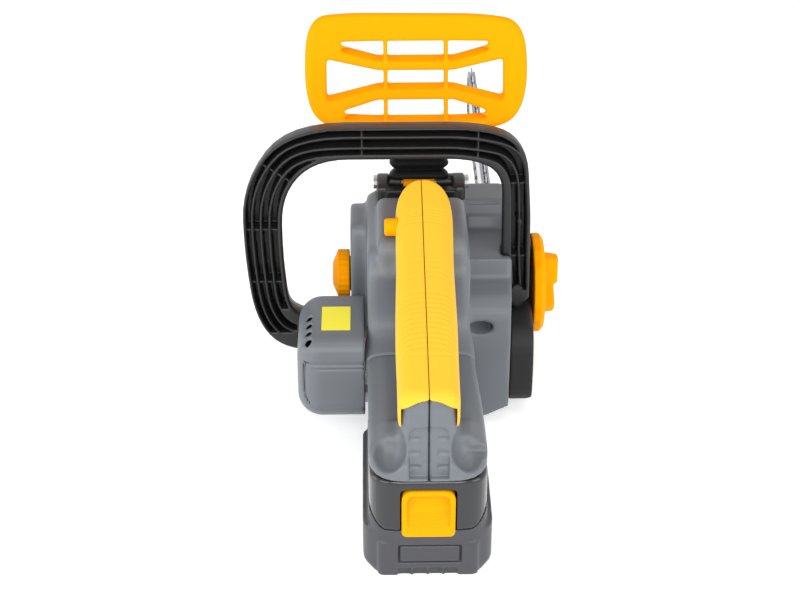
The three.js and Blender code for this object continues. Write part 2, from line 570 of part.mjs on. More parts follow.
function buildDrive() {
  const toGear = Math.atan2(SPROCKET.z - MOTOR.z, SPROCKET.y - motorY);
  const gearPhase = toGear + Math.PI + Math.PI / GEAR.gearTeeth;
  const bore = SPROCKET.shaft + GAP;
  piece("motor_pinion", gearWheel(GEAR.pinionTeeth, motorY, MOTOR.z, MOTOR.shaft + GAP, toGear), "steel");
  piece("reduction_gear", gearWheel(GEAR.gearTeeth, SPROCKET.y, SPROCKET.z, bore, gearPhase), "steel");
  const right = BAR.x + SPROCKET.width / 2;
  const { shaft, y, z } = SPROCKET;
  const collar = [GEAR.left + GEAR.width + 2, BEARING.outer - GAP];
  const axle = turned([
    [3, 0], [3, shaft], [collar[0], shaft], [collar[0], shaft + 2], [collar[1], shaft + 2], [collar[1], shaft],
    [right + 3.4, shaft], [right + 3.4, 0],
  ], y, z, 20);
  piece("sprocket_shaft", axle, "steel");
  const bearing = (x0, x1) => ring(y, z, bore, BEARING.radius, x0, x1, 20);
  piece("shaft_bearing_outer", bearing(BEARING.outer, BEARING.outer + BEARING.width), "steel");
  piece("shaft_bearing_inner", bearing(BEARING.inner, BEARING.inner + BEARING.width - 2), "steel");
  const notches = Array.from({ length: SPROCKET.teeth }, (_, i) => {
    const angle = (2 * Math.PI * (i + 0.5)) / SPROCKET.teeth;
    const place = [y + 17 * Math.cos(angle), z + 17 * Math.sin(angle)];
    return rod("x", place, 2.6, BAR.x - SPROCKET.width, BAR.x + SPROCKET.width, 6);
  });
  const wheel = ring(y, z, bore, SPROCKET.tipRadius, BAR.x - SPROCKET.width / 2, right);
  piece("drive_sprocket", cut(wheel, ...notches), "darkSteel");
  piece("sprocket_clip", ring(y, z, bore, 8, right + GAP, right + 1.8, 16), "steel");
}

// ---------------------------------------------------------------- bar, chain and tensioner
/** Side outline with half circles round a rear and a front centre. */
function stadium(rearY, frontY, z, radius, steps = 8) {
  const shape = new THREE.Shape();
  const arc = (y, start) => {
    for (let i = 0; i <= steps; i++) {
      const angle = start + (Math.PI * i) / steps;
      const place = [y + radius * Math.cos(angle), z + radius * Math.sin(angle)];
      if (start > 0 && i === 0) shape.moveTo(...place);
      else shape.lineTo(...place);
    }
  };
  arc(rearY, Math.PI / 2);
  arc(frontY, -Math.PI / 2);
  shape.closePath();
  return shape;
}

function buildBar() {
  const { z } = SPROCKET;
  const [x0, x1] = [BAR.x - BAR.thickness / 2, BAR.x + BAR.thickness / 2];
  const slot = stadium(STUD.y - 1, STUD.y + TENSION_TRAVEL + 3, z, STUD.radius + 0.4, 6);
  const noseSlot = rod("x", [BAR.noseY, z], BAR.halfHeight + 1, BAR.x - 0.9, BAR.x + 0.9);
  const rivet = rod("x", [BAR.noseY, z], 5, BAR.x - 1.2, BAR.x + 1.2, 16);
  const blank = prism(stadium(BAR.tailY + BAR.halfHeight, BAR.noseY, z, BAR.halfHeight, 12), "x", x0, x1);
  const bar = join(cut(blank, prism(slot, "x", x0 - 1, x1 + 1), noseSlot), rivet);
  piece("guide_bar", bar, "steel");
  const noseWheel = ring(BAR.noseY, z, 5 + GAP, BAR.halfHeight - 0.8, BAR.x - 0.6, BAR.x + 0.6, 24);
  piece("nose_sprocket", noseWheel, "darkSteel");

  const inner = BAR.halfHeight + GAP;
  const band = (radius) => stadium(SPROCKET.y, BAR.noseY, z, radius, 12);
  const loop = cut(
    prism(band(inner + CHAIN.height), "x", BAR.x - CHAIN.width / 2, BAR.x + CHAIN.width / 2),
    prism(band(inner), "x", BAR.x - CHAIN.width, BAR.x + CHAIN.width),
  );
  const count = Math.floor((BAR.noseY - SPROCKET.y) / CHAIN.cutterPitch);
  const cutters = Array.from({ length: 2 * count }, (_, i) => {
    const side = i % 2 === 0 ? 1 : -1;
    const y = SPROCKET.y + CHAIN.cutterPitch * (0.5 + Math.floor(i / 2) + side * 0.2);
    const edge = z + side * (inner + CHAIN.height);
    const reach = edge + side * CHAIN.cutter;
    return prism(rectangle(y - 6, Math.min(edge, reach) - 1, y + 6, Math.max(edge, reach)), "x", BAR.x - 2.4, BAR.x + 2.4);
  });
  piece("saw_chain", join(loop, ...cutters), "darkSteel");
}

function buildTensioner() {
  const { z } = SPROCKET;
  const barRight = BAR.x + BAR.thickness / 2;
  const ringRight = RING.left + RING.thickness;
  const bore = STUD.radius + GAP;
  const slot = stadium(STUD.y - 1, STUD.y + TENSION_TRAVEL + 3, z, STUD.radius + 0.4, 6);
  const plate = prism(rectangle(STUD.y - 18, z - 13, STUD.y + 24, z + 13, 4), "x", barRight + GAP, barRight + 2.3);
  piece("bar_adjust_plate", cut(plate, prism(slot, "x", barRight - 1, barRight + 4)), "steel");
  const camLeft = barRight + 2.6;
  const cam = join(
    ring(STUD.y, z, bore, 20, camLeft, camLeft + 3),
    ring(STUD.y, z, bore, RING.hub, camLeft, RING.left - GAP),
  );
  piece("tension_cam", cam, "dark");
  const stud = join(
    prism(hexagon(STUD.y, z, STUD.head), "x", STUD.left, STUD.left + STUD.headHeight),
    rod("x", [STUD.y, z], STUD.radius, STUD.left, ringRight + 4, 16),
  );
  piece("bar_stud", stud, "steel");

  const notches = Array.from({ length: RING.notches }, (_, i) => {
    const angle = (2 * Math.PI * i) / RING.notches;
    const reach = RING.radius + 1.6;
    const place = [STUD.y + reach * Math.cos(angle), z + reach * Math.sin(angle)];
    return rod("x", place, 3, RING.left - 1, ringRight + 1, 6);
  });
  const tensionRing = cut(
    rod("x", [STUD.y, z], RING.radius, RING.left, ringRight, 36),
    rod("x", [STUD.y, z], KNOB.hub + GAP, RING.left + 3, ringRight + 1),
    rod("x", [STUD.y, z], bore, RING.left - 1, RING.left + 5, 16),
    ...notches,
  );
  piece("tension_ring", tensionRing, "orange");
  const knobRight = ringRight + 1;
  const wing = (angle) => {
    const grip = new THREE.BoxGeometry(KNOB.thickness, KNOB.wingWidth, KNOB.hub);
    grip.translate(knobRight + KNOB.thickness / 2 - 1, 0, KNOB.hub / 2).rotateX(angle);
    return solidOf(grip.translate(0, STUD.y, z));
  };
  const wings = Array.from({ length: 3 }, (_, i) => wing((2 * Math.PI * i) / 3));
  const knob = cut(
    join(rod("x", [STUD.y, z], KNOB.hub, RING.left + 3 + GAP, knobRight), ...wings),
    rod("x", [STUD.y, z], bore, RING.left, ringRight + 4 + GAP, 16),
  );
  piece("lock_knob", knob, "orange");
}

const hexagon = (u, v, radius) => Array.from({ length: 6 }, (_, i) => [
  u + radius * Math.cos((Math.PI * i) / 3), v + radius * Math.sin((Math.PI * i) / 3),
]);

function buildCover() {
  const { z } = SPROCKET;
  const right = CASE.coverRight;
  const notchY = HANDLE.rear + HANDLE.depth + 2;
  const plate = [
    [-36, 12, 14], [84, 9, 12], [98, 30, 12], [98, 100, 12], [84, 112, 12], [notchY + 2, 112, 8],
    [notchY, HANDLE.foot - 12, 2], [-30, HANDLE.foot - 12, 10], [-40, 50, 12],
  ];
  const cover = cut(
    join(prism(plate, "x", BODY.right + GAP, right - 5), prism(inset(plate, 4), "x", right - 6, right)),
    prism(inset(plate, WALL), "x", BODY.right - 2, right - 8),
    rod("x", [STUD.y, z], RING.hub + GAP, 60, 90),
    prism(rectangle(90, z - 27, 120, z + 27), "x", BODY.right - 2, right - 8),
    handleRoom,
  );
  const seat = ring(STUD.y, z, RING.hub + GAP, 15, right - 14, right - 4);
  piece("sprocket_cover", join(cover, seat), "dark");
  piece("bumper_spike", prism(spikeOutline, "x", SPIKE.left, SPIKE.left + SPIKE.thickness), "darkSteel");
  piece("chain_catcher", prism(catcherOutline, "x", CATCHER.left, BODY.right), "darkSteel");
}

// ---------------------------------------------------------------- oil system
const pumpOutline = rectangle(PUMP.y - 10, PUMP.z - 12, PUMP.y + 10, PUMP.z + 12, 3);

function buildOil() {
  const side = rectangle(TANK.rear, TANK.bottom, TANK.front, TANK.top, 4);
  const { wall } = TANK;
  const tank = cut(
    join(
      prism(side, "x", TANK.left, TANK.right),
      rod("x", [CAP.y, CAP.z], TANK.neck, BODY.left + 0.5, TANK.left + 2),
    ),
    prism(inset(side, wall), "x", TANK.left + wall, TANK.right - wall),
    rod("x", [CAP.y, CAP.z], CAP.plug + GAP, BODY.left - 1, TANK.left + 6),
  );
  piece("oil_tank", tank, "oil");
  const rim = BODY.left - 1.4;
  const cap = turned([
    [BODY.left - CAP.height, 0], [BODY.left - CAP.height, CAP.radius - 6], [BODY.left - CAP.height + 3, CAP.radius],
    [rim, CAP.radius], [rim, CAP.plug], [BODY.left + 8, CAP.plug], [BODY.left + 8, 0],
  ], CAP.y, CAP.z, 20);
  piece("oil_cap", cap, "orange");
  piece("oil_cap_seal", ring(CAP.y, CAP.z, CAP.plug + GAP, TANK.neck - 1, rim + GAP, BODY.left + 0.2, 20), "black");
  const pump = join(
    prism(pumpOutline, "x", PUMP.left, PUMP.right),
    rod("x", [PUMP.y, PUMP.z], PUMP.nozzle, PUMP.right - 1, CASE.bayLeft - 1, 12),
  );
  piece("oil_pump", pump, "dark");
  const hose = [
    [TANK.right - 8, 46, TANK.bottom - 0.6], [TANK.right - 6, 45, TANK.bottom - 8], [6, 40, PUMP.z + 3],
    [PUMP.left - 0.6, PUMP.y + 6, PUMP.z],
  ];
  piece("oil_hose", cord(hose, 2, 12), "black");
}

// ---------------------------------------------------------------- handles and guard
function buildHandle() {
  const { rear, depth, channel } = HANDLE;
  const band = prism(handleOutline, "y", rear, rear + depth);
  const plug = prism(
    rectangle(BODY.left - 11, HANDLE.bottom + 2, BODY.left - GAP, HANDLE.bottom + 26), "y", rear + 3, rear + depth - 3,
  );
  const channels = [[0.12, 0.46], [0.56, 0.88]].map(([a, b]) =>
    prism(handleBand(a, b, 2, 8), "y", rear - 1, rear + channel));
  const spots = { left: [-72, HANDLE.bottom + 14], right: [HANDLE.right - 9, HANDLE.foot + 8] };
  const holes = Object.values(spots).map((spot) => rod("y", spot, 2 + GAP, rear - 1, rear + 12 + GAP, 10));
  piece("front_handle", cut(join(band, plug), ...channels, ...holes), "black");
  for (const [name, spot] of Object.entries(spots)) {
    const screw = join(rod("y", spot, 4, rear - 2.6, rear - GAP, 10), rod("y", spot, 2, rear - 1, rear + 12, 10));
    piece(`handle_screw_${name}`, screw, "steel");
  }
}

/** The guard's frame and everything on it lie in a plane that leans forward at the pivot. */
const guardPlane = new THREE.Group();
guardPlane.position.set(0, PIVOT.y, PIVOT.z);
guardPlane.rotation.x = -THREE.MathUtils.degToRad(GUARD.tiltDeg);
saw.add(guardPlane);

/** Nine windows between two upright ribs and two slats that bend towards the middle. */
function guardWindows() {
  const rib = GUARD.rib / 2;
  const columns = [[-68, -25], [-22, 18], [21, 63]];
  const mid = GUARD.midX;
  const [a, b] = [columns[1][0], columns[1][1]];
  const span = (side, low, high, outerLow, outerHigh, reach) => {
    const edge = side < 0 ? a - 2 * rib : b + 2 * rib;
    const bend = edge + side * 4;
    const out = mid + side * reach;
    return [[edge, low], [bend, low], [out, outerLow, 2], [out, outerHigh, 2], [bend, high], [edge, high]];
  };
  const rows = [
    { low: 93, high: 101, outerLow: 99, outerHigh: 101, reach: 56 },
    { low: 73, high: 80, outerLow: 63, outerHigh: 88, reach: 65 },
    { low: 50, high: 59, outerLow: 50, outerHigh: 52, reach: 54 },
  ];
  return rows.flatMap(({ low, high, outerLow, outerHigh, reach }) => [
    rectangle(a, low, b, high),
    span(-1, low, high, outerLow, outerHigh, reach),
    span(1, low, high, outerLow, outerHigh, reach),
  ]);
}

function buildGuard() {
  const [l, r] = [GUARD.midX - GUARD.width / 2, GUARD.midX + GUARD.width / 2];
  const { low, high, corner, depth } = GUARD;
  const frame = [
    [l + 10, low, 8], [l, low + 26, 18], [l + 3, high - 4, corner], [l + 30, high, 18], [r - 30, high, 18],
    [r - 3, high - 4, corner], [r, low + 26, 18], [r - 10, low, 8], [34, low - 6, 6], [14, 30, 4],
    [12, 16, 2], [-12, 16, 2], [-14, 30, 4], [-36, low - 6, 6],
  ];
  const stem = prism(rectangle(-12, -7, 12, 26, 5), "y", -depth / 2, depth / 2);
  const guard = cut(
    join(prism(frame, "y", -depth / 2, depth / 2), stem),
    ...guardWindows().map((points) => prism(points, "y", -20, 20)),
    rod("x", [0, 0], PIVOT.pin + GAP, -20, 20, 16),
  );
  piece("hand_guard", guard, "orange", guardPlane);

  const seatY = HOOD.front + 2 * GAP;
  const floor = BODY.top + GAP;
  const ear = [
    [seatY, floor, 1], [62, floor, 1], [58, floor + 8, 2], [PIVOT.y + 8, PIVOT.z + 7, 4],
    [PIVOT.y - 8, PIVOT.z + 7, 4], [seatY + 4, floor + 8, 2],
  ];
  const base = prism(rectangle(seatY, floor, 62, floor + 2), "x", -30, 33);
  const hubGap = prism(rectangle(PIVOT.y - 14, floor - 1, PIVOT.y + 14, floor + 9), "x", -12.6, 12.6);
  const bracket = cut(
    join(prism(ear, "x", -30, -12.6), prism(ear, "x", 12.6, 33), cut(base, hubGap)),
    rod("x", [PIVOT.y, PIVOT.z], PIVOT.pin + GAP, -40, 40, 16),
  );
  piece("guard_bracket", bracket, "black");
  const pin = turned([
    [-33, 0], [-33, 5], [-30 - GAP, 5], [-30 - GAP, PIVOT.pin], [33 + GAP, PIVOT.pin], [33 + GAP, 5], [36, 5], [36, 0],
  ], PIVOT.y, PIVOT.z, 12);
  piece("guard_pivot_pin", pin, "steel");

  const pleats = Array.from({ length: 6 }, (_, i) => {
    const flare = i % 2 === 0 ? 0 : 3;
    const start = 9.6 + i * 1.9;
    const half = 18.6 + flare - i * 0.2;
    const deep = 12.5 + flare;
    return prism(rectangle(-half, -deep, half, deep, 5), "z", start, start + 2.2);
  });
  const stemRoom = prism(rectangle(-15.4, -8, 15.4, 8), "z", 0, 40);
  piece("guard_bellows", cut(join(...pleats), stemRoom), "black", guardPlane);
}

// ---------------------------------------------------------------- controls
function buildControls() {
  const half = TRIGGER.halfWidth - 2 * GAP;
  const blade = prism([
    [TRIGGER.y + 4, TRIGGER.z - 5, 2], [TRIGGER.y + 4, TRIGGER.z + 4, 3], [TRIGGER.y - 6, TRIGGER.z + 4, 3],
    [TRIGGER.y - 28, 140, 4], [TRIGGER.y - 31, 128, 4], [TRIGGER.y - 20, 116, 8], [TRIGGER.y - 8, 108, 3],
    [TRIGGER.y - 4, 112, 3], [TRIGGER.y - 8, 128, 8],
  ], "x", -half, half);
  const pinHole = rod("x", [TRIGGER.y, TRIGGER.z], TRIGGER.pin + GAP, -20, 20, 12);
  piece("trigger", cut(blade, pinHole), "black");
  const pin = rod("x", [TRIGGER.y, TRIGGER.z], TRIGGER.pin, -TRIGGER.pinHalf, TRIGGER.pinHalf, 12);
  piece("trigger_pin", pin, "steel");
  piece("main_switch", prism([
    [-136, gripUnder(-136) + 4 + GAP], [-104, gripUnder(-104) + 4 + GAP], [-104, gripTop(-104) - 11],
    [-136, gripTop(-136) - 11],
  ], "x", -11.7, 11.7), "black");
  const { out, back, inner, radius, y, z } = LOCK_OFF;
  const button = turned([
    [-out, 0], [-out, radius - 1.5], [-out + 1.5, radius], [back, radius], [back, 0],
  ], y, z, 16);
  piece("lock_off_button", button, "orange");
  piece("lock_off_spring", spring([back + 1, y, z], [-inner - 0.8, y, z], 3.6, 0.5, 4), "steel");
  const springY = TRIGGER.y - 20;
  piece("trigger_spring", spring([0, springY, TRIGGER.z - 2.4], [0, springY, TRIGGER.z + 6], 3, 0.5, 4), "steel");
}

function buildElectrics() {
  const [rear, front] = [32 + GAP, BODY.front - 26 - GAP];
  const { bottom, thickness } = BOARD;
  const board = join(
    prism(rectangle(-32, rear, 20, front), "z", bottom, bottom + thickness),
    prism(rectangle(-26, rear + 14, 20, rear + 30), "z", bottom + 1, bottom + 12),
    rod("z", [10, front - 10], 6, bottom + 1, bottom + 18, 16),
  );
  piece("control_board", board, "board");
  piece("brake_switch", prism(rectangle(-9, 32 + GAP, 9, 52), "z", 128, 144), "black");
  piece("motor_lead_red", cord(leadPath(LEAD.red), LEAD.radius, 16), "red");
  piece("motor_lead_black", cord(leadPath(LEAD.black), LEAD.radius, 16), "black");
  const packFront = PACK.rear + PACK.length;
  const terminals = cut(
    prism(rectangle(-13, FOOT.under - 8, 13, FOOT.top - WALL - GAP), "y", packFront - 32, packFront - 4),
    ...[-8, 0, 8].map((x) => prism(rectangle(x - 1, 60, x + 1, FOOT.under), "y", packFront - 40, packFront)),
  );
  piece("battery_terminal_block", terminals, "black");
}

// ---------------------------------------------------------------- battery pack
function buildBattery() {
  const { wall, rear, bottom, split } = PACK;
  const front = rear + PACK.length;
  const plan = (half) => [
    [-half, front, 6], [half, front, 6], [half, rear, 16], [-half, rear, 16],
  ];
  const lower = cut(
    join(
      prism(plan(PACK.halfWidth), "z", bottom, split),
      prism(plan(PACK.shoulder), "z", bottom + 2, split - 2),
    ),
    prism(inset(plan(PACK.halfWidth), wall), "z", bottom + wall, split + 1),
    ...[-24, -8, 8, 24].map((x) => prism(rectangle(x - 6, 3, x + 6, 8), "y", rear - 5, rear + 1.2)),
    prism(rectangle(-26, 12, 26, 25), "y", rear - 5, rear + 0.8),
  );
  piece("battery_case", lower, "dark");
  const [top, low, half] = [LATCH.top, LATCH.top - LATCH.height, LATCH.width / 2];
  const latchBay = prism(
    rectangle(-half - GAP, low - GAP - LATCH.travel, half + GAP, top + GAP),
    "y", rear - 2, rear + LATCH.depth + LATCH.travel + GAP,
  );
  const rails = [-1, 1].map((side) => {
    const span = [30 * side, 40 * side].sort((a, b) => a - b);
    return prism(rectangle(span[0], 62, span[1], 68), "y", rear + 20, front + 2);
  });
  const terminalSlot = prism(rectangle(-14, FOOT.under - 10, 14, FOOT.under + 1), "y", front - 34, front + 2);
  const upper = cut(
    prism(plan(PACK.halfWidth - 0.5), "z", split + GAP, FOOT.under - GAP),
    prism(inset(plan(PACK.halfWidth), wall + 0.5), "z", split, FOOT.under - 14),
    latchBay, terminalSlot, ...rails,
  );
  piece("battery_lid", upper, "gloss");
  piece("cell_block", prism(rectangle(-33, bottom + wall + GAP, 33, 44, 6), "y", rear + 24, front - 6), "cell");
  const latch = cut(
    prism(rectangle(-half, low, half, top, 6), "y", rear - 1, rear + LATCH.depth),
    prism(rectangle(-half + 5, low + 4, half - 5, top - 8, 4), "y", rear - 3, rear + 5),
  );
  piece("battery_latch", latch, "yellow");
  const springY = [rear + LATCH.depth + 0.8, rear + 24 - 0.8];
  piece("battery_latch_spring", spring([0, springY[0], 40], [0, springY[1], 40], 3, 0.5, 3), "steel");
}

buildLeftHousing();
buildRightHousing();
buildScrews();
buildGripCovers();
buildMotor();
buildDrive();
buildBar();
buildTensioner();
buildCover();
buildOil();
buildHandle();
buildGuard();
buildControls();
buildElectrics();
buildBattery();

export default saw;
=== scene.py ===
"""Cordless chainsaw: the finished look of each piece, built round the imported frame.

Sizes are written in millimetres in the frame's own axes: +X to the guide bar's side, +Y forward along the
bar, +Z up. Meshes are made in metres.
"""
import json
import logging
import math
from dataclasses import dataclass
from enum import Enum
from typing import Callable

import bmesh
import bpy
import numpy as np
from mathutils import Matrix, Vector


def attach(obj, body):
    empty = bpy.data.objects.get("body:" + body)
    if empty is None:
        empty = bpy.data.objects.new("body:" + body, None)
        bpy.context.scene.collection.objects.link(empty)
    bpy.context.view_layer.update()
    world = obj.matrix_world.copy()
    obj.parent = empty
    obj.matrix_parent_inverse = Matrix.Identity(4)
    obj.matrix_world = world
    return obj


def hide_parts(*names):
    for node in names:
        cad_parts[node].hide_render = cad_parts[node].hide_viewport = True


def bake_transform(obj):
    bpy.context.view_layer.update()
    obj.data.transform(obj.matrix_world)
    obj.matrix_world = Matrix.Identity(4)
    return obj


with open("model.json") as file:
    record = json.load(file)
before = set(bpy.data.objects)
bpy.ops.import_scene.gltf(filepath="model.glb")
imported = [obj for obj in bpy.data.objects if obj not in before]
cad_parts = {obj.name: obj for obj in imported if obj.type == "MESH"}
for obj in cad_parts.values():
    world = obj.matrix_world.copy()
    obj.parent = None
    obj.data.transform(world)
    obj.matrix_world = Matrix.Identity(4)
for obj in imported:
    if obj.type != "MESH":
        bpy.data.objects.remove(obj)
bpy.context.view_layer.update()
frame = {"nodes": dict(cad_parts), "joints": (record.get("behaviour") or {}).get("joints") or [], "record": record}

MM = 0.001
BAR_PLANE = 58.0
CHAIN_PITCH = 18.62
# (y, z) of the pieces that several parts share
MOTOR = (-53.4, 59.0)
SPROCKET = (-10.0, 71.0)
STUD = (42.0, 71.0)
OIL_CAP = (28.0, 88.0)
LOCK_OFF = (-52.0, 168.0)
TRIGGER_PIN = (-64.0, 150.0)
GUARD_PIVOT = (37.5, 158.4)
LOG = logging.getLogger("chainsaw")

Array = np.ndarray
Point = tuple[float, ...]
Outline = list[Point]
Solid = Callable[[Array, Array, Array], Array]


# ------------------------------------------------------------------ outlines and distance fields
def rounded(points: Outline, steps: int = 6) -> Array:
    """Turns corners [u, v, radius] into a dense closed polygon.

    Args:
        points: corners in order; the radius may be left out.
        steps: pieces in each rounded corner.

    Returns:
        An array of (u, v) points.
    """
    out = []
    count = len(points)
    for i, corner in enumerate(points):
        here = np.array(corner[:2], float)
        radius = corner[2] if len(corner) > 2 else 0.0
        if radius <= 0:
            out.append(here)
            continue
        ends = []
        for other in (points[i - 1], points[(i + 1) % count]):
            side = np.array(other[:2], float) - here
            length = float(np.hypot(*side))
            ends.append(here + side / length * min(radius, length * 0.49))
        for t in np.linspace(0, 1, steps):
            out.append((1 - t) ** 2 * ends[0] + 2 * t * (1 - t) * here + t * t * ends[1])
    return np.array(out)


def outline_distance(points: Array, u: Array, v: Array) -> Array:
    """Signed distance from (u, v) to a closed polygon, negative inside.

    Args:
        points: polygon from rounded().
        u: first coordinate.
        v: second coordinate.

    Returns:
        Distances in the shape that u and v broadcast to.
    """
    u, v = np.broadcast_arrays(u, v)
    best = np.full(u.shape, 1e12, np.float32)
    inside = np.zeros(u.shape, bool)
    for (u0, v0), (u1, v1) in zip(points, np.roll(points, -1, axis=0)):
        eu, ev = u1 - u0, v1 - v0
        square = eu * eu + ev * ev
        if square < 1e-12:
            continue
        wu, wv = u - u0, v - v0
        t = np.clip((wu * eu + wv * ev) / square, 0, 1)
        best = np.minimum(best, (wu - eu * t) ** 2 + (wv - ev * t) ** 2)
        if abs(ev) > 1e-9:
            inside ^= ((v0 > v) != (v1 > v)) & (u < eu * wv / ev + u0)
    return np.where(inside, -1, 1) * np.sqrt(best)


def extruded(flat: Array, along: Array, edge: float = 0.0) -> Array:
    """Joins a flat distance and a distance along an axis into a prism with rounded rims.

    Args:
        flat: distance to the outline.
        along: distance past the prism's two ends.
        edge: radius of the rims.

    Returns:
        Distances to the prism.
    """
    a, b = flat + edge, along + edge
    outside = np.hypot(np.maximum(a, 0), np.maximum(b, 0))
    return np.minimum(np.maximum(a, b), 0) + outside - edge


def span(value: Array, low: float, high: float) -> Array:
    """Distance past either end of a range."""
    return np.abs(value - (low + high) / 2) - (high - low) / 2


def join(a: Array, b: Array, blend: float = 0.0) -> Array:
    """Union of two solids; blend is the fillet's size."""
    if blend <= 0:
        return np.minimum(a, b)
    h = np.clip(0.5 + 0.5 * (b - a) / blend, 0, 1)
    return b * (1 - h) + a * h - blend * h * (1 - h)


def cut(a: Array, tool: Array, blend: float = 0.0) -> Array:
    """Takes a tool away from a solid; blend is the size of the rounded edge."""
    return -join(-a, tool, blend)


def block(x: Array, y: Array, z: Array, low: Point, high: Point, edge: float = 0.0) -> Array:
    """Distance to a box with rounded edges."""
    gaps = [span(v, a, b) + edge for v, a, b in zip((x, y, z), low, high)]
    outside = np.sqrt(sum(np.maximum(g, 0) ** 2 for g in gaps))
    return np.minimum(np.maximum(np.maximum(gaps[0], gaps[1]), gaps[2]), 0) + outside - edge


def ball(x: Array, y: Array, z: Array, centre: Point, radii: Point) -> Array:
    """Approximate distance to an ellipsoid."""
    scaled = [(v - c) / r for v, c, r in zip((x, y, z), centre, radii)]
    return (np.sqrt(sum(s * s for s in scaled)) - 1) * min(radii)


def disc(u: Array, v: Array, centre: Point, radius: float) -> Array:
    """Distance to a circle in a plane."""
    return np.hypot(u - centre[0], v - centre[1]) - radius


def net(values: Array, low: Array, step: float) -> tuple[Array, Array]:
    """Surface of a distance field as a mesh of quads, one vertex in each cell that the surface crosses.

    Args:
        values: distances on a grid.
        low: the grid's lowest corner.
        step: spacing of the grid.

    Returns:
        Vertices and quads, facing out.
    """
    inside = values < 0
    shape = tuple(n - 1 for n in values.shape)
    corners = [(i, j, k) for i in (0, 1) for j in (0, 1) for k in (0, 1)]

    def window(array: Array, c: Point) -> Array:
        return array[c[0]:c[0] + shape[0], c[1]:c[1] + shape[1], c[2]:c[2] + shape[2]]

    count = sum(window(inside, c).astype(np.int8) for c in corners)
    active = (count > 0) & (count < 8)
    cells = np.argwhere(active)
    index = np.full(shape, -1, np.int64)
    index[active] = np.arange(len(cells))
    total = np.zeros((len(cells), 3))
    hits = np.zeros(len(cells))
    for a in corners:
        for axis in range(3):
            if a[axis]:
                continue
            b = tuple(a[n] + (n == axis) for n in range(3))
            va = values[tuple((cells + a).T)]
            vb = values[tuple((cells + b).T)]
            crossed = (va < 0) != (vb < 0)
            share = np.where(crossed, va / np.where(crossed, va - vb, 1), 0)
            place = np.tile(np.array(a, float), (len(cells), 1))
            place[:, axis] += share
            total[crossed] += place[crossed]
            hits += crossed
    points = cells + total / hits[:, None]
    quads = []
    for axis in range(3):
        first, second = [n for n in range(3) if n != axis]
        here = [slice(1, -1)] * 3
        here[axis] = slice(0, -1)
        there = list(here)
        there[axis] = slice(1, None)
        va, vb = inside[tuple(here)], inside[tuple(there)]
        spots = np.argwhere(va != vb)
        rising = va[tuple(spots.T)]
        spots = spots + np.array([0 if n == axis else 1 for n in range(3)])
        ring = []
        for du, dv in ((-1, -1), (0, -1), (0, 0), (-1, 0)):
            cell = spots.copy()
            cell[:, first] += du
            cell[:, second] += dv
            ring.append(index[tuple(cell.T)])
        quad = np.stack(ring, 1)
        turned = rising if axis != 1 else ~rising
        quad[~turned] = quad[~turned][:, ::-1]
        quads.append(quad)
    return low + points * step, np.concatenate(quads)


def settle(points: Array, values: Array, low: Array, step: float, rounds: int = 2) -> Array:
    """Moves vertices onto the zero surface along the field's slope.

    Args:
        points: vertices in millimetres.
        values: distances on the grid.
        low: the grid's lowest corner.
        step: spacing of the grid.
        rounds: number of moves.

    Returns:
        The moved vertices.
    """
    limit = np.array(values.shape) - 2

    def sample(at: Array) -> Array:
        local = np.clip((at - low) / step, 0, limit + 0.999)
        base = np.minimum(local.astype(int), limit)
        part = local - base
        total = np.zeros(len(at))
        for i in (0, 1):
            for j in (0, 1):
                for k in (0, 1):
                    share = (
                        (part[:, 0] if i else 1 - part[:, 0])
                        * (part[:, 1] if j else 1 - part[:, 1])
                        * (part[:, 2] if k else 1 - part[:, 2])
                    )
                    total += share * values[base[:, 0] + i, base[:, 1] + j, base[:, 2] + k]
        return total

    for _ in range(rounds):
        slope = np.stack([
            sample(points + step * 0.5 * np.eye(3)[n]) - sample(points - step * 0.5 * np.eye(3)[n])
            for n in range(3)
        ], 1)
        size = np.maximum(np.linalg.norm(slope, axis=1, keepdims=True), 1e-6)
        move = np.clip(sample(points), -step * 0.4, step * 0.4)[:, None]
        points = points - slope / size * move
    return points


def moulded(solid: Solid, low: Point, high: Point, step: float) -> tuple[Array, Array]:
    """Mesh of a distance field inside a box.

    Args:
        solid: function of x, y and z in millimetres.
        low: lowest corner of the box.
        high: highest corner of the box.
        step: spacing of the grid.

    Returns:
        Vertices in millimetres and quads.
    """
    start = np.array(low, float) - 2 * step
    counts = np.ceil((np.array(high) + 2 * step - start) / step).astype(int) + 1
    axes = [(start[n] + step * np.arange(counts[n])).astype(np.float32) for n in range(3)]
    x, y, z = axes[0][:, None, None], axes[1][None, :, None], axes[2][None, None, :]
    values = np.ascontiguousarray(np.broadcast_to(solid(x, y, z), counts)).astype(np.float32)
    for n in range(3):
        ends = [slice(None)] * 3
        for side in (0, -1):
            ends[n] = side
            values[tuple(ends)] = np.maximum(values[tuple(ends)], step)
    points, quads = net(values, start, step)
    return settle(points, values, start, step), quads


# ------------------------------------------------------------------ finishes
class Slot(Enum):
    """Material slots of the record."""

    HOUSING = "housing_grey"
    MOTOR_COVER = "motor_cover_grey"
    CHARCOAL = "cover_charcoal"
    GRIP = "grip_yellow"
    GUARD = "guard_orange"
    CONTROL = "control_orange"
    LATCH = "latch_yellow"
    HANDLE = "handle_black"
    BELLOWS = "bellows_rubber"
    LID = "pack_gloss"
    CASE = "pack_dark"
    BAR = "bar_steel"
    CHAIN = "chain_steel"
    ZINC = "zinc_steel"


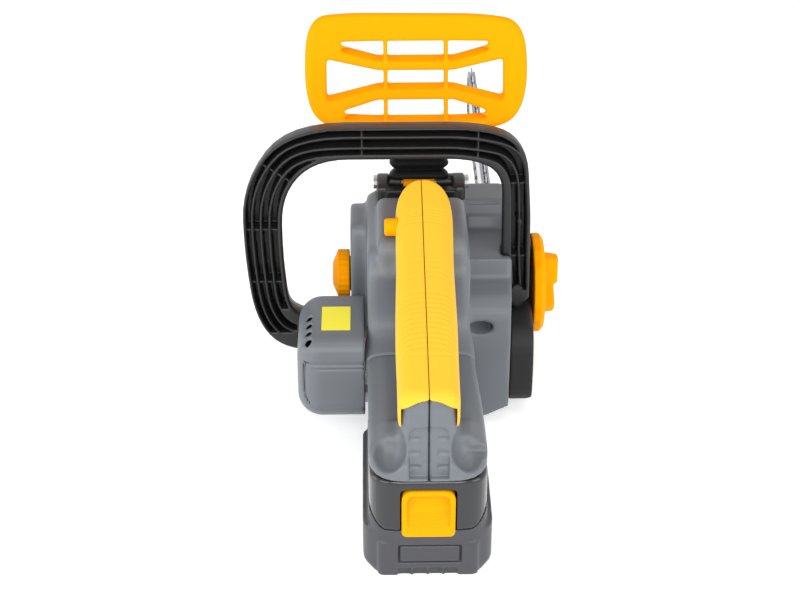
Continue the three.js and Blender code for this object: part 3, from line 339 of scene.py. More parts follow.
def node_group(name: str, inputs: dict[str, float], outputs: dict[str, str]) -> bpy.types.NodeTree:
    """Makes an empty shader group with float inputs.

    Args:
        name: the group's name.
        inputs: input names and defaults.
        outputs: output names and socket types.

    Returns:
        The new node tree.
    """
    tree = bpy.data.node_groups.new(name, "ShaderNodeTree")
    for label, value in inputs.items():
        socket = tree.interface.new_socket(label, in_out="INPUT", socket_type="NodeSocketFloat")
        socket.default_value = value
    for label, kind in outputs.items():
        tree.interface.new_socket(label, in_out="OUTPUT", socket_type=kind)
    return tree


def grain_group() -> bpy.types.NodeTree:
    """Moulded grain: a fine height, a broad cloud and a mask of small scuffs.

    Returns:
        The shader group "moulded_grain".
    """
    existing = bpy.data.node_groups.get("moulded_grain")
    if existing:
        return existing
    tree = node_group(
        "moulded_grain", {"Grain": 2200.0, "Cloud": 28.0, "Scuff": 0.5},
        {"Height": "NodeSocketFloat", "Shade": "NodeSocketFloat", "Scuffs": "NodeSocketFloat"},
    )
    nodes, links = tree.nodes, tree.links
    entry, leave = nodes.new("NodeGroupInput"), nodes.new("NodeGroupOutput")
    place = nodes.new("ShaderNodeTexCoord")
    fine, cloud, marks = (nodes.new("ShaderNodeTexNoise") for _ in range(3))
    fine.inputs["Detail"].default_value = 3.0
    cloud.inputs["Detail"].default_value = 4.0
    marks.inputs["Scale"].default_value = 160.0
    marks.inputs["Detail"].default_value = 6.0
    marks.inputs["Roughness"].default_value = 0.75
    for texture in (fine, cloud, marks):
        links.new(place.outputs["Object"], texture.inputs["Vector"])
    links.new(entry.outputs["Grain"], fine.inputs["Scale"])
    links.new(entry.outputs["Cloud"], cloud.inputs["Scale"])
    sharpen = nodes.new("ShaderNodeMapRange")
    sharpen.inputs["From Min"].default_value = 0.66
    sharpen.inputs["From Max"].default_value = 0.78
    links.new(marks.outputs["Fac"], sharpen.inputs["Value"])
    scale = nodes.new("ShaderNodeMath")
    scale.operation = "MULTIPLY"
    links.new(sharpen.outputs["Result"], scale.inputs[0])
    links.new(entry.outputs["Scuff"], scale.inputs[1])
    links.new(fine.outputs["Fac"], leave.inputs["Height"])
    links.new(cloud.outputs["Fac"], leave.inputs["Shade"])
    links.new(scale.outputs["Value"], leave.inputs["Scuffs"])
    return tree


@dataclass(frozen=True)
class Finish:
    """A moulded or metal surface.

    Attributes:
        name: material name.
        slot: the record's slot.
        colour: base colour, linear.
        rough: mean roughness.
        metal: metallic share.
        bump: strength of the grain.
        grain: scale of the grain.
        spread: how much the broad cloud changes the colour.
        scuff: how strong the small scuffs are.
        coat: clear coat weight.
        drawn: stretch of the grain along Y, for ground metal.
        shine: specular level.
    """

    name: str
    slot: Slot
    colour: tuple[float, float, float]
    rough: float
    metal: float = 0.0
    bump: float = 0.12
    grain: float = 2200.0
    spread: float = 0.10
    scuff: float = 0.25
    coat: float = 0.0
    drawn: float = 1.0
    shine: float = 0.5

    def material(self) -> bpy.types.Material:
        """Builds the material once and returns it."""
        existing = bpy.data.materials.get(f"finish_{self.name}")
        if existing:
            return existing
        material = bpy.data.materials.new(f"finish_{self.name}")
        material.use_nodes = True
        nodes, links = material.node_tree.nodes, material.node_tree.links
        surface = nodes["Principled BSDF"]
        surface.inputs["Metallic"].default_value = self.metal
        surface.inputs["Specular IOR Level"].default_value = self.shine
        surface.inputs["Coat Weight"].default_value = self.coat
        surface.inputs["Coat Roughness"].default_value = 0.15
        group = nodes.new("ShaderNodeGroup")
        group.node_tree = grain_group()
        group.inputs["Grain"].default_value = self.grain
        group.inputs["Scuff"].default_value = self.scuff
        tint = nodes.new("ShaderNodeMix")
        tint.data_type = "RGBA"
        base = np.array(self.colour)
        tint.inputs["A"].default_value = (*np.clip(base * (1 - self.spread), 0, 1), 1)
        tint.inputs["B"].default_value = (*np.clip(base * (1 + self.spread), 0, 1), 1)
        links.new(group.outputs["Shade"], tint.inputs["Factor"])
        worn = nodes.new("ShaderNodeMix")
        worn.data_type = "RGBA"
        worn.inputs["B"].default_value = (*np.clip(base * 0.75 + 0.06 * self.scuff, 0, 1), 1)
        links.new(group.outputs["Scuffs"], worn.inputs["Factor"])
        links.new(tint.outputs["Result"], worn.inputs["A"])
        links.new(worn.outputs["Result"], surface.inputs["Base Color"])
        sheen = nodes.new("ShaderNodeMapRange")
        sheen.inputs["To Min"].default_value = max(0.05, self.rough - 0.08)
        sheen.inputs["To Max"].default_value = min(1.0, self.rough + 0.08)
        links.new(group.outputs["Shade"], sheen.inputs["Value"])
        links.new(sheen.outputs["Result"], surface.inputs["Roughness"])
        bump = nodes.new("ShaderNodeBump")
        bump.inputs["Strength"].default_value = self.bump
        bump.inputs["Distance"].default_value = 0.0002
        if self.drawn != 1.0:
            place, stretch = nodes.new("ShaderNodeTexCoord"), nodes.new("ShaderNodeMapping")
            stretch.inputs["Scale"].default_value = (1, 1 / self.drawn, 1)
            lines = nodes.new("ShaderNodeTexNoise")
            lines.inputs["Scale"].default_value = self.grain
            links.new(place.outputs["Object"], stretch.inputs["Vector"])
            links.new(stretch.outputs["Vector"], lines.inputs["Vector"])
            links.new(lines.outputs["Fac"], bump.inputs["Height"])
        else:
            links.new(group.outputs["Height"], bump.inputs["Height"])
        links.new(bump.outputs["Normal"], surface.inputs["Normal"])
        return material


SHELL = Finish("shell_grey", Slot.HOUSING, (0.124, 0.137, 0.154), 0.44)
COVER = Finish("motor_cover_grey", Slot.MOTOR_COVER, (0.125, 0.138, 0.155), 0.44)
CHARCOAL = Finish("cover_charcoal", Slot.CHARCOAL, (0.018, 0.018, 0.019), 0.5, shine=0.2)
GRIP_YELLOW = Finish(
    "grip_yellow", Slot.GRIP, (0.84, 0.465, 0.028), 0.55, shine=0.2, spread=0.03, scuff=0.04, bump=0.2,
)
GUARD_ORANGE = Finish(
    "guard_orange", Slot.GUARD, (0.95, 0.325, 0.0), 0.45, shine=0.03, spread=0.02, scuff=0.0,
)
CONTROL_ORANGE = Finish(
    "control_orange", Slot.CONTROL, (0.98, 0.35, 0.0), 0.45, shine=0.03, spread=0.02, scuff=0.0,
)
LATCH_YELLOW = Finish("latch_yellow", Slot.LATCH, (0.85, 0.33, 0.0), 0.4, shine=0.06, spread=0.02, scuff=0.0)
BLACK = Finish("handle_black", Slot.HANDLE, (0.012, 0.012, 0.012), 0.4, shine=0.4, bump=0.25, grain=1500)
RUBBER = Finish("bellows_rubber", Slot.BELLOWS, (0.006, 0.006, 0.006), 0.6, shine=0.15, bump=0.2)
LID = Finish("pack_gloss", Slot.LID, (0.014, 0.015, 0.017), 0.26, coat=0.5, shine=0.3)
CASE = Finish("pack_dark", Slot.CASE, (0.040, 0.041, 0.048), 0.42)
BAR_STEEL = Finish("bar_steel", Slot.BAR, (0.6, 0.61, 0.62), 0.32, metal=1.0, drawn=18, grain=900, bump=0.3)
CHAIN_STEEL = Finish("chain_steel", Slot.CHAIN, (0.34, 0.35, 0.37), 0.34, metal=1.0, grain=900)
ZINC = Finish("zinc_steel", Slot.ZINC, (0.6, 0.61, 0.62), 0.35, metal=1.0)
TAG_YELLOW = Finish("tag_yellow", Slot.LATCH, (0.9, 0.82, 0.06), 0.5, shine=0.2, spread=0.02, scuff=0.02)


# ------------------------------------------------------------------ making pieces
def add_piece(
    name: str, mesh: bpy.types.Mesh, body: str, finish: Finish, nodes: tuple[str, ...] = (),
) -> bpy.types.Object:
    """Adds one finished piece, hangs it on its body, hides the CAD nodes that it replaces and logs its faces.

    Args:
        name: the piece's name.
        mesh: its mesh, in metres.
        body: the CAD body it moves with; empty for a piece that hangs on no body.
        finish: its surface.
        nodes: CAD nodes that it replaces.

    Returns:
        The new object.
    """
    mesh.materials.clear()
    mesh.materials.append(finish.material())
    piece = bpy.data.objects.new(name, mesh)
    bpy.context.scene.collection.objects.link(piece)
    if body:
        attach(piece, body)
    if nodes:
        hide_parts(*nodes)
    LOG.info("%s: %d faces on %s", name, len(mesh.polygons), body or "two bodies")
    return piece


def mesh_of(name: str, points: Array, faces: Array, smooth: bool = True) -> bpy.types.Mesh:
    """A Blender mesh from points in millimetres.

    Args:
        name: the mesh's name.
        points: vertices in millimetres.
        faces: vertex indices.
        smooth: whether the faces are shaded smooth.

    Returns:
        The mesh, in metres.
    """
    mesh = bpy.data.meshes.new(name)
    mesh.from_pydata((np.asarray(points) * MM).tolist(), [], np.asarray(faces).tolist())
    mesh.polygons.foreach_set("use_smooth", [smooth] * len(mesh.polygons))
    mesh.update()
    return mesh


def cast_piece(
    name: str, solid: Solid, low: Point, high: Point, step: float, body: str, finish: Finish,
    nodes: tuple[str, ...] = (), place: Matrix | None = None,
) -> bpy.types.Object:
    """Casts a distance field as a piece.

    Args:
        name: the piece's name.
        solid: distance function in millimetres.
        low: lowest corner of the field.
        high: highest corner of the field.
        step: spacing of the grid.
        body: the CAD body it moves with.
        finish: its surface.
        nodes: CAD nodes that it replaces.
        place: turns the mesh from its own frame into the saw's, in millimetres.

    Returns:
        The new object.
    """
    points, quads = moulded(solid, low, high, step)
    if place is not None:
        turn = np.array(place)
        points = points @ turn[:3, :3].T + turn[:3, 3]
    return add_piece(name, mesh_of(name, points, quads), body, finish, nodes)


def joint_place(name: str) -> Vector:
    """Position of a hinge, in millimetres."""
    entry = next(j for j in frame["joints"] if j["name"] == name)
    return Vector(entry["pos_m"]) / MM


# ------------------------------------------------------------------ body
@dataclass
class Handle:
    """Sloping rear grip that the housing and the covers share.

    Attributes:
        rear_y: where the top line starts.
        rear_z: height of the top line there.
        front_y: where it ends.
        front_z: height there.
        depth: thickness of the grip below the line.
        half: half width over the covers.
        skin: thickness of the covers.
    """

    rear_y: float = -213.0
    rear_z: float = 136.0
    front_y: float = -18.0
    front_z: float = 188.0
    depth: float = 37.0
    half: float = 19.5
    skin: float = 3.0

    def top(self, y: float | Array) -> float | Array:
        """Height of the top line at y."""
        return self.front_z + (y - self.front_y) * (self.front_z - self.rear_z) / (self.front_y - self.rear_y)

    def band(self, inset: float, rear: float, front: float, depth: float) -> Array:
        """Side outline of the grip.

        Args:
            inset: how far below the top line it starts.
            rear: rear end.
            front: front end.
            depth: lower edge below the top line.

        Returns:
            The outline's points.
        """
        return rounded([
            (rear + inset, self.top(rear) - depth, 4), (rear + inset, self.top(rear) - inset, 9),
            (front - inset - 1, self.top(front - inset - 1) - inset, 5),
            (front - inset, self.top(front) - depth, 2),
            (-174, self.top(-174) - depth, 4),
        ])


@dataclass
class Housing:
    """The two halves of the body with the rail, post, hood, shoulder and chain case.

    Attributes:
        grip: the handle above it.
        step: grid spacing of the cast.
        seam: each half stops this far from the middle plane.
    """

    grip: Handle
    step: float = 1.5
    seam: float = 0.18

    def spine(self, x: Array, y: Array, z: Array) -> Array:
        """Mid body from the pack's front to the nose."""
        side = rounded([
            (-97, 74, 2), (-97, 8, 10), (-70, 0, 10), (102, 0, 12), (112, 40, 14), (108, 112, 20),
            (68, 152, 14), (-50, 152, 8), (-66, 140, 10), (-72, 98, 14), (-92, 88, 10),
        ])
        body = extruded(outline_distance(side, y, z), span(x, -38, 33), 7)
        slope = (z - 141 + 0.49 * np.maximum(y - 34, 0)) * 0.8 - (x + 50) * 0.5
        return cut(body, np.maximum(-slope, x + 30.5), 2)

    def rail(self, x: Array, y: Array, z: Array) -> Array:
        """Rail above the pack with a rounded rear end and a dished top."""
        plan = rounded([(-38, -70), (33, -70), (37.5, -150, 30), (38, -222, 24), (-38, -222, 24)])
        body = extruded(outline_distance(plan, x, y), span(z, 75, 90), 5)
        top = rounded([(-30, -70), (30, -70), (30, -205, 16), (-30, -205, 16)])
        crown = extruded(outline_distance(top, x, y), span(z, 80, 94), 6)
        return join(body, crown, 8)

    def post(self, x: Array, y: Array, z: Array) -> Array:
        """Upright at the rear that carries the grip, flared at its foot."""
        side = rounded([
            (-218, 84, 2), (-176, 84, 2), (-180, 104, 12), (-172, self.grip.top(-172) - 31, 4),
            (-212, self.grip.rear_z - 9, 14),
        ])
        upright = extruded(outline_distance(side, y, z), span(x, -17, 17), 6)
        core = extruded(
            outline_distance(self.grip.band(self.grip.skin, -216, -22, self.grip.depth), y, z),
            span(x, -self.grip.half + self.grip.skin, self.grip.half - self.grip.skin), 5,
        )
        return join(upright, core, 3)

    def hood(self, x: Array, y: Array, z: Array) -> Array:
        """Raised part below the front end of the grip."""
        side = rounded([(-62, 130, 6), (14, 130, 2), (14, 156, 10), (0, 165, 16), (-62, 160, 14)])
        return extruded(outline_distance(side, y, z), span(x, -31, 31), 6)

    def shoulder(self, x: Array, y: Array, z: Array) -> Array:
        """Wide left part round the oil tank, chamfered towards the hood."""
        side = rounded([
            (-6, 12, 12), (2, 2, 10), (98, 2, 12), (106, 40, 14), (100, 104, 24), (34, 144, 16),
            (-2, 144, 12), (-6, 120, 10),
        ])
        body = extruded(outline_distance(side, y, z), span(x, -50, -30), 3)
        slope = (z - 141) * 0.85 - (x + 50) * 0.53
        return cut(body, -slope, 2)

    def case(self, x: Array, y: Array, z: Array) -> Array:
        """Chain case on the right with its stepped top and open bay."""
        side = rounded([
            (-42, 4, 6), (94, 4, 14), (106, 40, 14), (105, 104, 16), (92, 131, 5), (62, 131, 1), (60, 127, 1),
            (55, 127, 1), (54, 131, 1), (37.5, 131, 1), (32.5, 122, 1), (-10, 119.5, 1), (-13.5, 106.5, 2),
            (-38, 99, 16), (-46, 76, 14), (-46, 40, 20),
        ])
        body = extruded(outline_distance(side, y, z), span(x, 20, 66), 4)
        flank = (x - 66) + np.maximum(-(y + 6), 0) * 0.06
        body = np.maximum(np.maximum(body, flank), (5.6 + (x - 46) * 0.57 - z) * 0.85)
        opening = rounded([
            (-42, 51, 10), (-30, 39, 10), (130, 39), (130, 103), (-24, 103, 10), (-39, 91, 10),
        ])
        bay = extruded(outline_distance(opening, y, z), span(x, 50, 80), 2)
        seat = rounded([(24, 55, 6), (88, 55, 6), (88, 87, 6), (24, 87, 6)])
        pad = extruded(outline_distance(seat, y, z), span(x, 45, 56.1), 1)
        veil = np.maximum(np.maximum(62.8 - x, 66 - z), y - 27)
        return join(cut(body, cut(bay, veil), 0.6), pad)

    def whole(self, x: Array, y: Array, z: Array) -> Array:
        """The body before it is split along its seam."""
        solid = join(self.spine(x, y, z), self.rail(x, y, z), 8)
        solid = join(solid, self.post(x, y, z), 7)
        solid = join(solid, self.hood(x, y, z), 3)
        solid = join(solid, self.shoulder(x, y, z), 4)
        solid = join(solid, self.case(x, y, z), 4)
        opening = rounded([
            (-178, 93, 8), (-90, 91, 10), (-67, 104, 16), (-66, self.grip.top(-66) - 37, 12),
            (-174, self.grip.top(-174) - 37, 8),
        ])
        solid = cut(solid, extruded(outline_distance(opening, y, z), span(x, -60, 60), 0), 6)
        for side in (-1, 1):
            solid = cut(solid, ball(x, y, z, (side * 26.5, -211, 95), (12, 15.5, 15)), 4)
        return solid

    def rooms(self, x: Array, y: Array, z: Array) -> Array:
        """Openings and rooms that other pieces stand in."""
        tank = block(x, y, z, (-46.4, 1.6, 57.6), (-3.6, 66.4, 118.4))
        neck = np.maximum(disc(y, z, OIL_CAP, 14.4), span(x, -60, -40))
        motor = np.maximum(disc(y, z, MOTOR, 27.4), span(x, -95, -10))
        gears = np.maximum(disc(y, z, SPROCKET, 38), span(x, 1, 22))
        pinion = np.maximum(disc(y, z, MOTOR, 16), span(x, -12, 22))
        shaft = np.maximum(disc(y, z, SPROCKET, 11.4), span(x, 20, 60))
        stud = np.maximum(disc(y, z, STUD, 7.6), span(x, 30, 60))
        cover = extruded(outline_distance(MotorCover.outline(0.3), y, z), span(x, -100, -40))
        trigger = block(x, y, z, (-8, -102, 96), (8, -57, 157))
        press = np.maximum(disc(y, z, LOCK_OFF, 6.3), span(x, -40, -4))
        hub = np.maximum(disc(y, z, GUARD_PIVOT, 12), span(x, -13, 13))
        slot = block(x, y, z, (-24, -190, 70), (24, -89, 83))
        rooms = [tank, neck, motor, gears, pinion, shaft, stud, cover, trigger, press, hub, slot]
        best = rooms[0]
        for room in rooms[1:]:
            best = np.minimum(best, room)
        return best

    def details(self, x: Array, y: Array, z: Array) -> Array:
        """Screw pockets, seam lines and the ribbed blocks on the post."""
        pockets = [
            ball(x, y, z, (42, -44, 82), (9, 12, 4.6)),
            block(x, y, z, (25, -206, 84), (38, -198, 100), 1.5),
        ]
        back = y + 218 - (z - 84) * 0.14
        field = rounded([(-12.4, 78), (12.4, 78), (12.4, 112, 6), (-12.4, 112, 6)])
        blocks = [extruded(outline_distance(field, x, z), back - 2.0)]
        for side in (-1, 1):
            for row in range(3):
                flat = np.maximum(np.abs(x - side * 8.6) - 3.6, np.abs(z - 84.5 - 9.6 * row) - 1.0)
                blocks.append(np.maximum(flat, back - 3.6))
        lines = [
            block(x, y, z, (-60, -93, 86), (-16, -91.8, 110)),
            block(x, y, z, (17, -93, 86), (60, -91.8, 110)),
        ]
        best = pockets[0]
        for tool in pockets[1:] + blocks + lines:
            best = np.minimum(best, tool)
        return best

    def build(self) -> None:
        """Casts both halves."""
        leg = FrontHandle()

        def half(side: int) -> Solid:
            def solid(x: Array, y: Array, z: Array) -> Array:
                body = cut(self.whole(x, y, z), self.details(x, y, z), 0.8)
                body = cut(body, self.rooms(x, y, z))
                if side > 0:
                    body = cut(body, leg.envelope(x, y, z) - 0.4, 0.5)
                return cut(body, side * x - self.seam, 0.9)
            return solid

        for side, name, left, right in ((-1, "left", -51, 0), (1, "right", 0, 67)):
            cast_piece(
                f"body_{name}", half(side), (left, -223, -1), (right, 113, 177), self.step, "body", SHELL,
                (f"housing_{name}",),
            )


@dataclass
class GripCovers:
    """Soft yellow covers over the grip, split along the middle.

    Attributes:
        grip: the handle they cover.
        step: grid spacing.
    """

    grip: Handle
    step: float = 0.65

    def solid(self, side: int) -> Solid:
        """Distance function of one half: side -1 is left."""
        grip = self.grip
        outer_side = grip.band(0, -216, grip.front_y + 2.5, 30)
        core_side = grip.band(grip.skin - 0.4, -217, -21.4, 60)
        plan = rounded([
            (-23, -230), (-23, -66, 10), (-19.7, -36, 12), (-11, -22.5, 8), (0, -15.2, 3), (11, -22.5, 8),
            (19.7, -36, 12), (23, -66, 10), (23, -230),
        ])
        post = rounded([
            (-219, 80), (-175, 80), (-179, 104, 12), (-171, grip.top(-171) - 30), (-212, grip.rear_z - 8, 14),
        ])
        hood = rounded([(-63, 130), (15, 130), (15, 157, 10), (0, 165.6, 16), (-63, 160.6, 14)])

        def field(x: Array, y: Array, z: Array) -> Array:
            seam = side * x - 0.18
            x = x - 1.2 * np.clip((y + 165) / 110, 0, 1) ** 1.5
            profile = outline_distance(outer_side, y, z)
            body = extruded(profile, span(x, -grip.half, grip.half), 9)
            body = -join(-body, -outline_distance(plan, x, y), 2)
            body = body - 0.5 * np.exp(-(((y + 150) / 26) ** 2)) + 0.35 * np.exp(-(((y + 90) / 18) ** 2))
            body = body + self.grooves(x, y) * np.exp(-np.maximum(-profile - 6, 0))
            core = extruded(outline_distance(core_side, y, z), span(x, -16.9, 16.9), 4)
            body = cut(body, core)
            body = cut(body, extruded(outline_distance(post, y, z), span(x, -17.4, 17.4), 6))
            body = cut(body, extruded(outline_distance(hood, y, z), span(x, -31.4, 31.4), 8))
            arch = np.maximum(z - 132.5 + 7 * (x / 17) ** 2, y + 190)
            body = cut(body, np.maximum(arch, np.abs(x) - 17.4), 0.4)
            below = (z <= 112) & (y <= -190)
            body = np.where(below, np.maximum(body, 112 - z), body)
            hole = np.maximum(disc(y, z, LOCK_OFF, 6.3), span(x, -40, 0))
            screw = np.maximum(disc(y, z, (-38, 172), 4.2), span(x, 15, 40))
            body = cut(cut(body, hole, 0.4), screw, 0.4)
            return cut(body, seam, 0.8)
        return field

    def grooves(self, x: Array, y: Array) -> Array:
        """Depth of the fine arcs across the top, in three fields, and of the line behind them."""
        side = np.abs(x) / self.grip.half
        bow = y + 6 * side ** 2
        fields = [(-48.0, 3.0, 5, 0.80, 0.30), (-97.0, 4.6, 4, 0.74, 0.16), (-126.0, 4.3, 12, 0.86, 0.32)]
        depth = np.zeros(np.broadcast(x, y).shape, np.float32)
        for start, pitch, count, width, deep in fields:
            fade = 1 / (1 + np.exp((side - width) * 24))
            for n in range(count):
                depth = np.maximum(depth, deep * fade * np.exp(-(((bow - start + pitch * n) / 0.6) ** 2)))
        return np.maximum(depth, 0.4 * np.exp(-(((y + 180) / 0.6) ** 2)))

    def build(self) -> None:
        """Casts both covers."""
        for side, name in ((-1, "left"), (1, "right")):
            low = (-21 if side < 0 else 0, -217, 98)
            high = (0 if side < 0 else 21, -17, 190)
            cast_piece(
                f"grip_{name}", self.solid(side), low, high, self.step, "body", GRIP_YELLOW,
                (f"grip_cover_{name}",),
            )


@dataclass
class MotorCover:
    """Rounded cover over the motor on the left, with vents and a recessed rear panel.

    Attributes:
        left: outer face.
        right: where it meets the body.
        step: grid spacing.
    """

    left: float = -87.0
    right: float = -40.3
    step: float = 1.1

    @staticmethod
    def outline(grow: float = 0.0) -> Array:
        """Side outline, grown by a clearance."""
        return rounded([
            (-94 - grow, 43 - grow, 9), (-56 - grow, 19 - grow, 20), (-16 + grow, 19 - grow, 26),
            (-16 + grow, 99 + grow, 14), (-90 - grow, 99 + grow, 12), (-94 - grow, 78, 10),
        ])

    def solid(self, x: Array, y: Array, z: Array) -> Array:
        """Distance function of the cover."""
        side = outline_distance(self.outline(), y, z)
        body = extruded(side, span(x, self.left, self.right + 40), 17)
        body = np.maximum(body, x - self.right)
        skin = body
        body = cut(body, extruded(side + 3.2, span(x, self.left + 3.2, 0), 10))
        frame_line = outline_distance(rounded([(-82, 83, 3), (-82, 47, 14), (-30, 47), (-30, 83)]), x, z)
        groove = np.maximum(np.abs(frame_line) - 0.8, -(skin + 0.9))
        body = cut(body, np.maximum(groove, y + 84), 0.3)
        line = np.maximum(span(x, -76, -30), np.maximum(np.abs(z - 79.8) - 0.6, -(skin + 0.9)))
        body = cut(body, np.maximum(line, y + 74), 0.3)
        for n in range(4):
            vent = np.sqrt(((x + 78.6) / 2.0) ** 2 + ((y + 52.5 + 10 * n) / 2.8) ** 2) * 2.0 - 2.0
            body = cut(body, np.maximum(vent, 84 - z), 0.5)
        return body

    def build(self) -> None:
        """Casts the cover and its plain yellow tag."""
        cast_piece(
            "motor_housing", self.solid, (self.left - 1, -95, 18), (self.right + 1, -15, 100), self.step,
            "body", COVER, ("motor_cover",),
        )
        top = 99.3
        points = np.array([(-70, -73, top), (-50, -73, top), (-50, -41, top), (-70, -41, top)])
        tag = mesh_of("tag", points, [(0, 1, 2, 3)], smooth=False)
        piece = add_piece("yellow_tag", tag, "body", TAG_YELLOW)
        wall = piece.modifiers.new("thickness", "SOLIDIFY")
        wall.thickness = 0.25 * MM
        wall.offset = -1


@dataclass
class FrontHandle:
    """Wrap-round handle with an open ribbed back.

    Attributes:
        rear: rear face.
        depth: size along Y.
        step: grid spacing.
        rib: half thickness of a rib.
    """

    rear: float = -4.0
    depth: float = 28.0
    step: float = 1.0
    rib: float = 1.0

    def edges(self) -> tuple[Array, Array]:
        """Outer and inner edge lines from left foot to right foot."""
        outer = [(-60, 41), (-100, 41, 22), (-120, 66, 26), (-126, 120, 30), (-126, 175, 40), (-94, 219, 42),
                 (44.5, 219, 28), (74.5, 206, 22), (78.5, 150, 10), (79.5, 84)]
        inner = [(-60, 69), (-84, 69, 10), (-95, 78, 14), (-98.5, 120, 20), (-98, 168, 26), (-74, 195.5, 24),
                 (36.5, 195.5, 18), (57.5, 184, 16), (58.5, 120, 8), (64.5, 80)]
        return rounded(outer, 7), rounded(inner, 7)

    def outline(self) -> Array:
        """Closed outline of the whole handle seen from behind."""
        outer, inner = self.edges()
        return np.concatenate([outer, [(70.5, 74)], inner[::-1]])

    def envelope(self, x: Array, y: Array, z: Array) -> Array:
        """Distance to the handle's outer form, flat behind and round in front."""
        return extruded(self.flank(x, y, z), span(y, self.rear, self.rear + self.depth), 1.2)

    def flank(self, x: Array, y: Array, z: Array) -> Array:
        """Distance to the handle's sides, drawn in towards the front."""
        along = np.clip((y - self.rear - 3) / (self.depth - 3), 0, 1)
        return outline_distance(self.outline(), x, z) + 12.5 * (1 - np.sqrt(1 - along ** 2))

    def solid(self, x: Array, y: Array, z: Array) -> Array:
        """Outer form with channels between the lengthwise and cross ribs."""
        outer, inner = self.edges()
        body = self.envelope(x, y, z)
        lateral = self.flank(x, y, z)
        to_outer = self.line_distance(outer, x, z)
        to_inner = self.line_distance(inner, x, z)
        width = to_outer + to_inner
        share = to_outer / (width + 1e-6)

        def ease(value: Array) -> Array:
            t = np.clip(value, 0, 1)
            return t * t * (3 - 2 * t)

        left = ease((-52 - x) / 48)
        right = ease((x - 34) / 62 + (204 - z) / 70 * (x > 30))

        def place(top: float, on_left: float, on_right: float) -> Array:
            return top + left * (on_left - top) + right * (on_right - top)

        ribs = np.full(share.shape, 1e3, np.float32)
        for spot in (place(0.29, 0.238, 0.10), place(0.63, 0.458, 0.40), place(0.88, 0.682, 0.80)):
            ribs = np.minimum(ribs, np.abs(share - spot) * width - self.rib)
        low, high = place(0.05, 0.076, 0.16), place(0.85, 0.88, 0.66)
        rim = np.maximum((low - share) * width, (share - high) * width)
        ribs = np.minimum(ribs, -rim)
        cross = np.full(share.shape, 1e3, np.float32)
        for spot in (-41, 40):
            cross = np.minimum(cross, np.where(z > 185, np.abs(x - spot), 1e3) - 0.65)
        for spot, side in ((98, -1), (140.5, -1), (176, 1), (118, 1)):
            cross = np.minimum(cross, np.where(x * side > 50, np.abs(z - spot), 1e3) - 0.65)
        slant = np.where((x < -70) & (z > 150), np.abs((x + 98) * 0.57 - (z - 183) * -0.82), 1e3)
        cross = np.minimum(cross, slant - 0.65)
        cross = np.maximum(cross, self.rear + 1.2 - y)
        boss = np.hypot(x - 70.5, z - 146) - 1.9
        walls = np.minimum(np.minimum(ribs, cross), boss)
        channel = np.maximum(np.maximum(-walls, y - (self.rear + 13)), lateral + 1.3)
        channel = np.maximum(channel, np.where(x > 0, 90 - z, -1e3))
        foot = np.maximum(x + 90, np.where(share > 0.68, 76, 56) - z)
        channel = np.maximum(channel, np.where(z < 90, np.where(x < -40, foot, -1e3), -1e3))
        return cut(body, channel, 0.5)

    @staticmethod
    def line_distance(points: Array, u: Array, v: Array) -> Array:
        """Distance from (u, v) to an open line."""
        u, v = np.broadcast_arrays(u, v)
        best = np.full(u.shape, 1e12, np.float32)
        for (u0, v0), (u1, v1) in zip(points[:-1], points[1:]):
            eu, ev = u1 - u0, v1 - v0
            t = np.clip(((u - u0) * eu + (v - v0) * ev) / (eu * eu + ev * ev + 1e-9), 0, 1)
            best = np.minimum(best, (u - u0 - eu * t) ** 2 + (v - v0 - ev * t) ** 2)
        return np.sqrt(best)

    def build(self) -> None:
        """Casts the handle with its root at the body."""
        def field(x: Array, y: Array, z: Array) -> Array:
            root = block(x, y, z, (-62, self.rear + 3, 43), (-50.3, self.rear + 27, 67), 2)
            return join(self.solid(x, y, z), root, 2)
        cast_piece(
            "front_handle_loop", field, (-127, -5, 40), (87, 27, 219), self.step, "body", BLACK,
            ("front_handle",),
        )


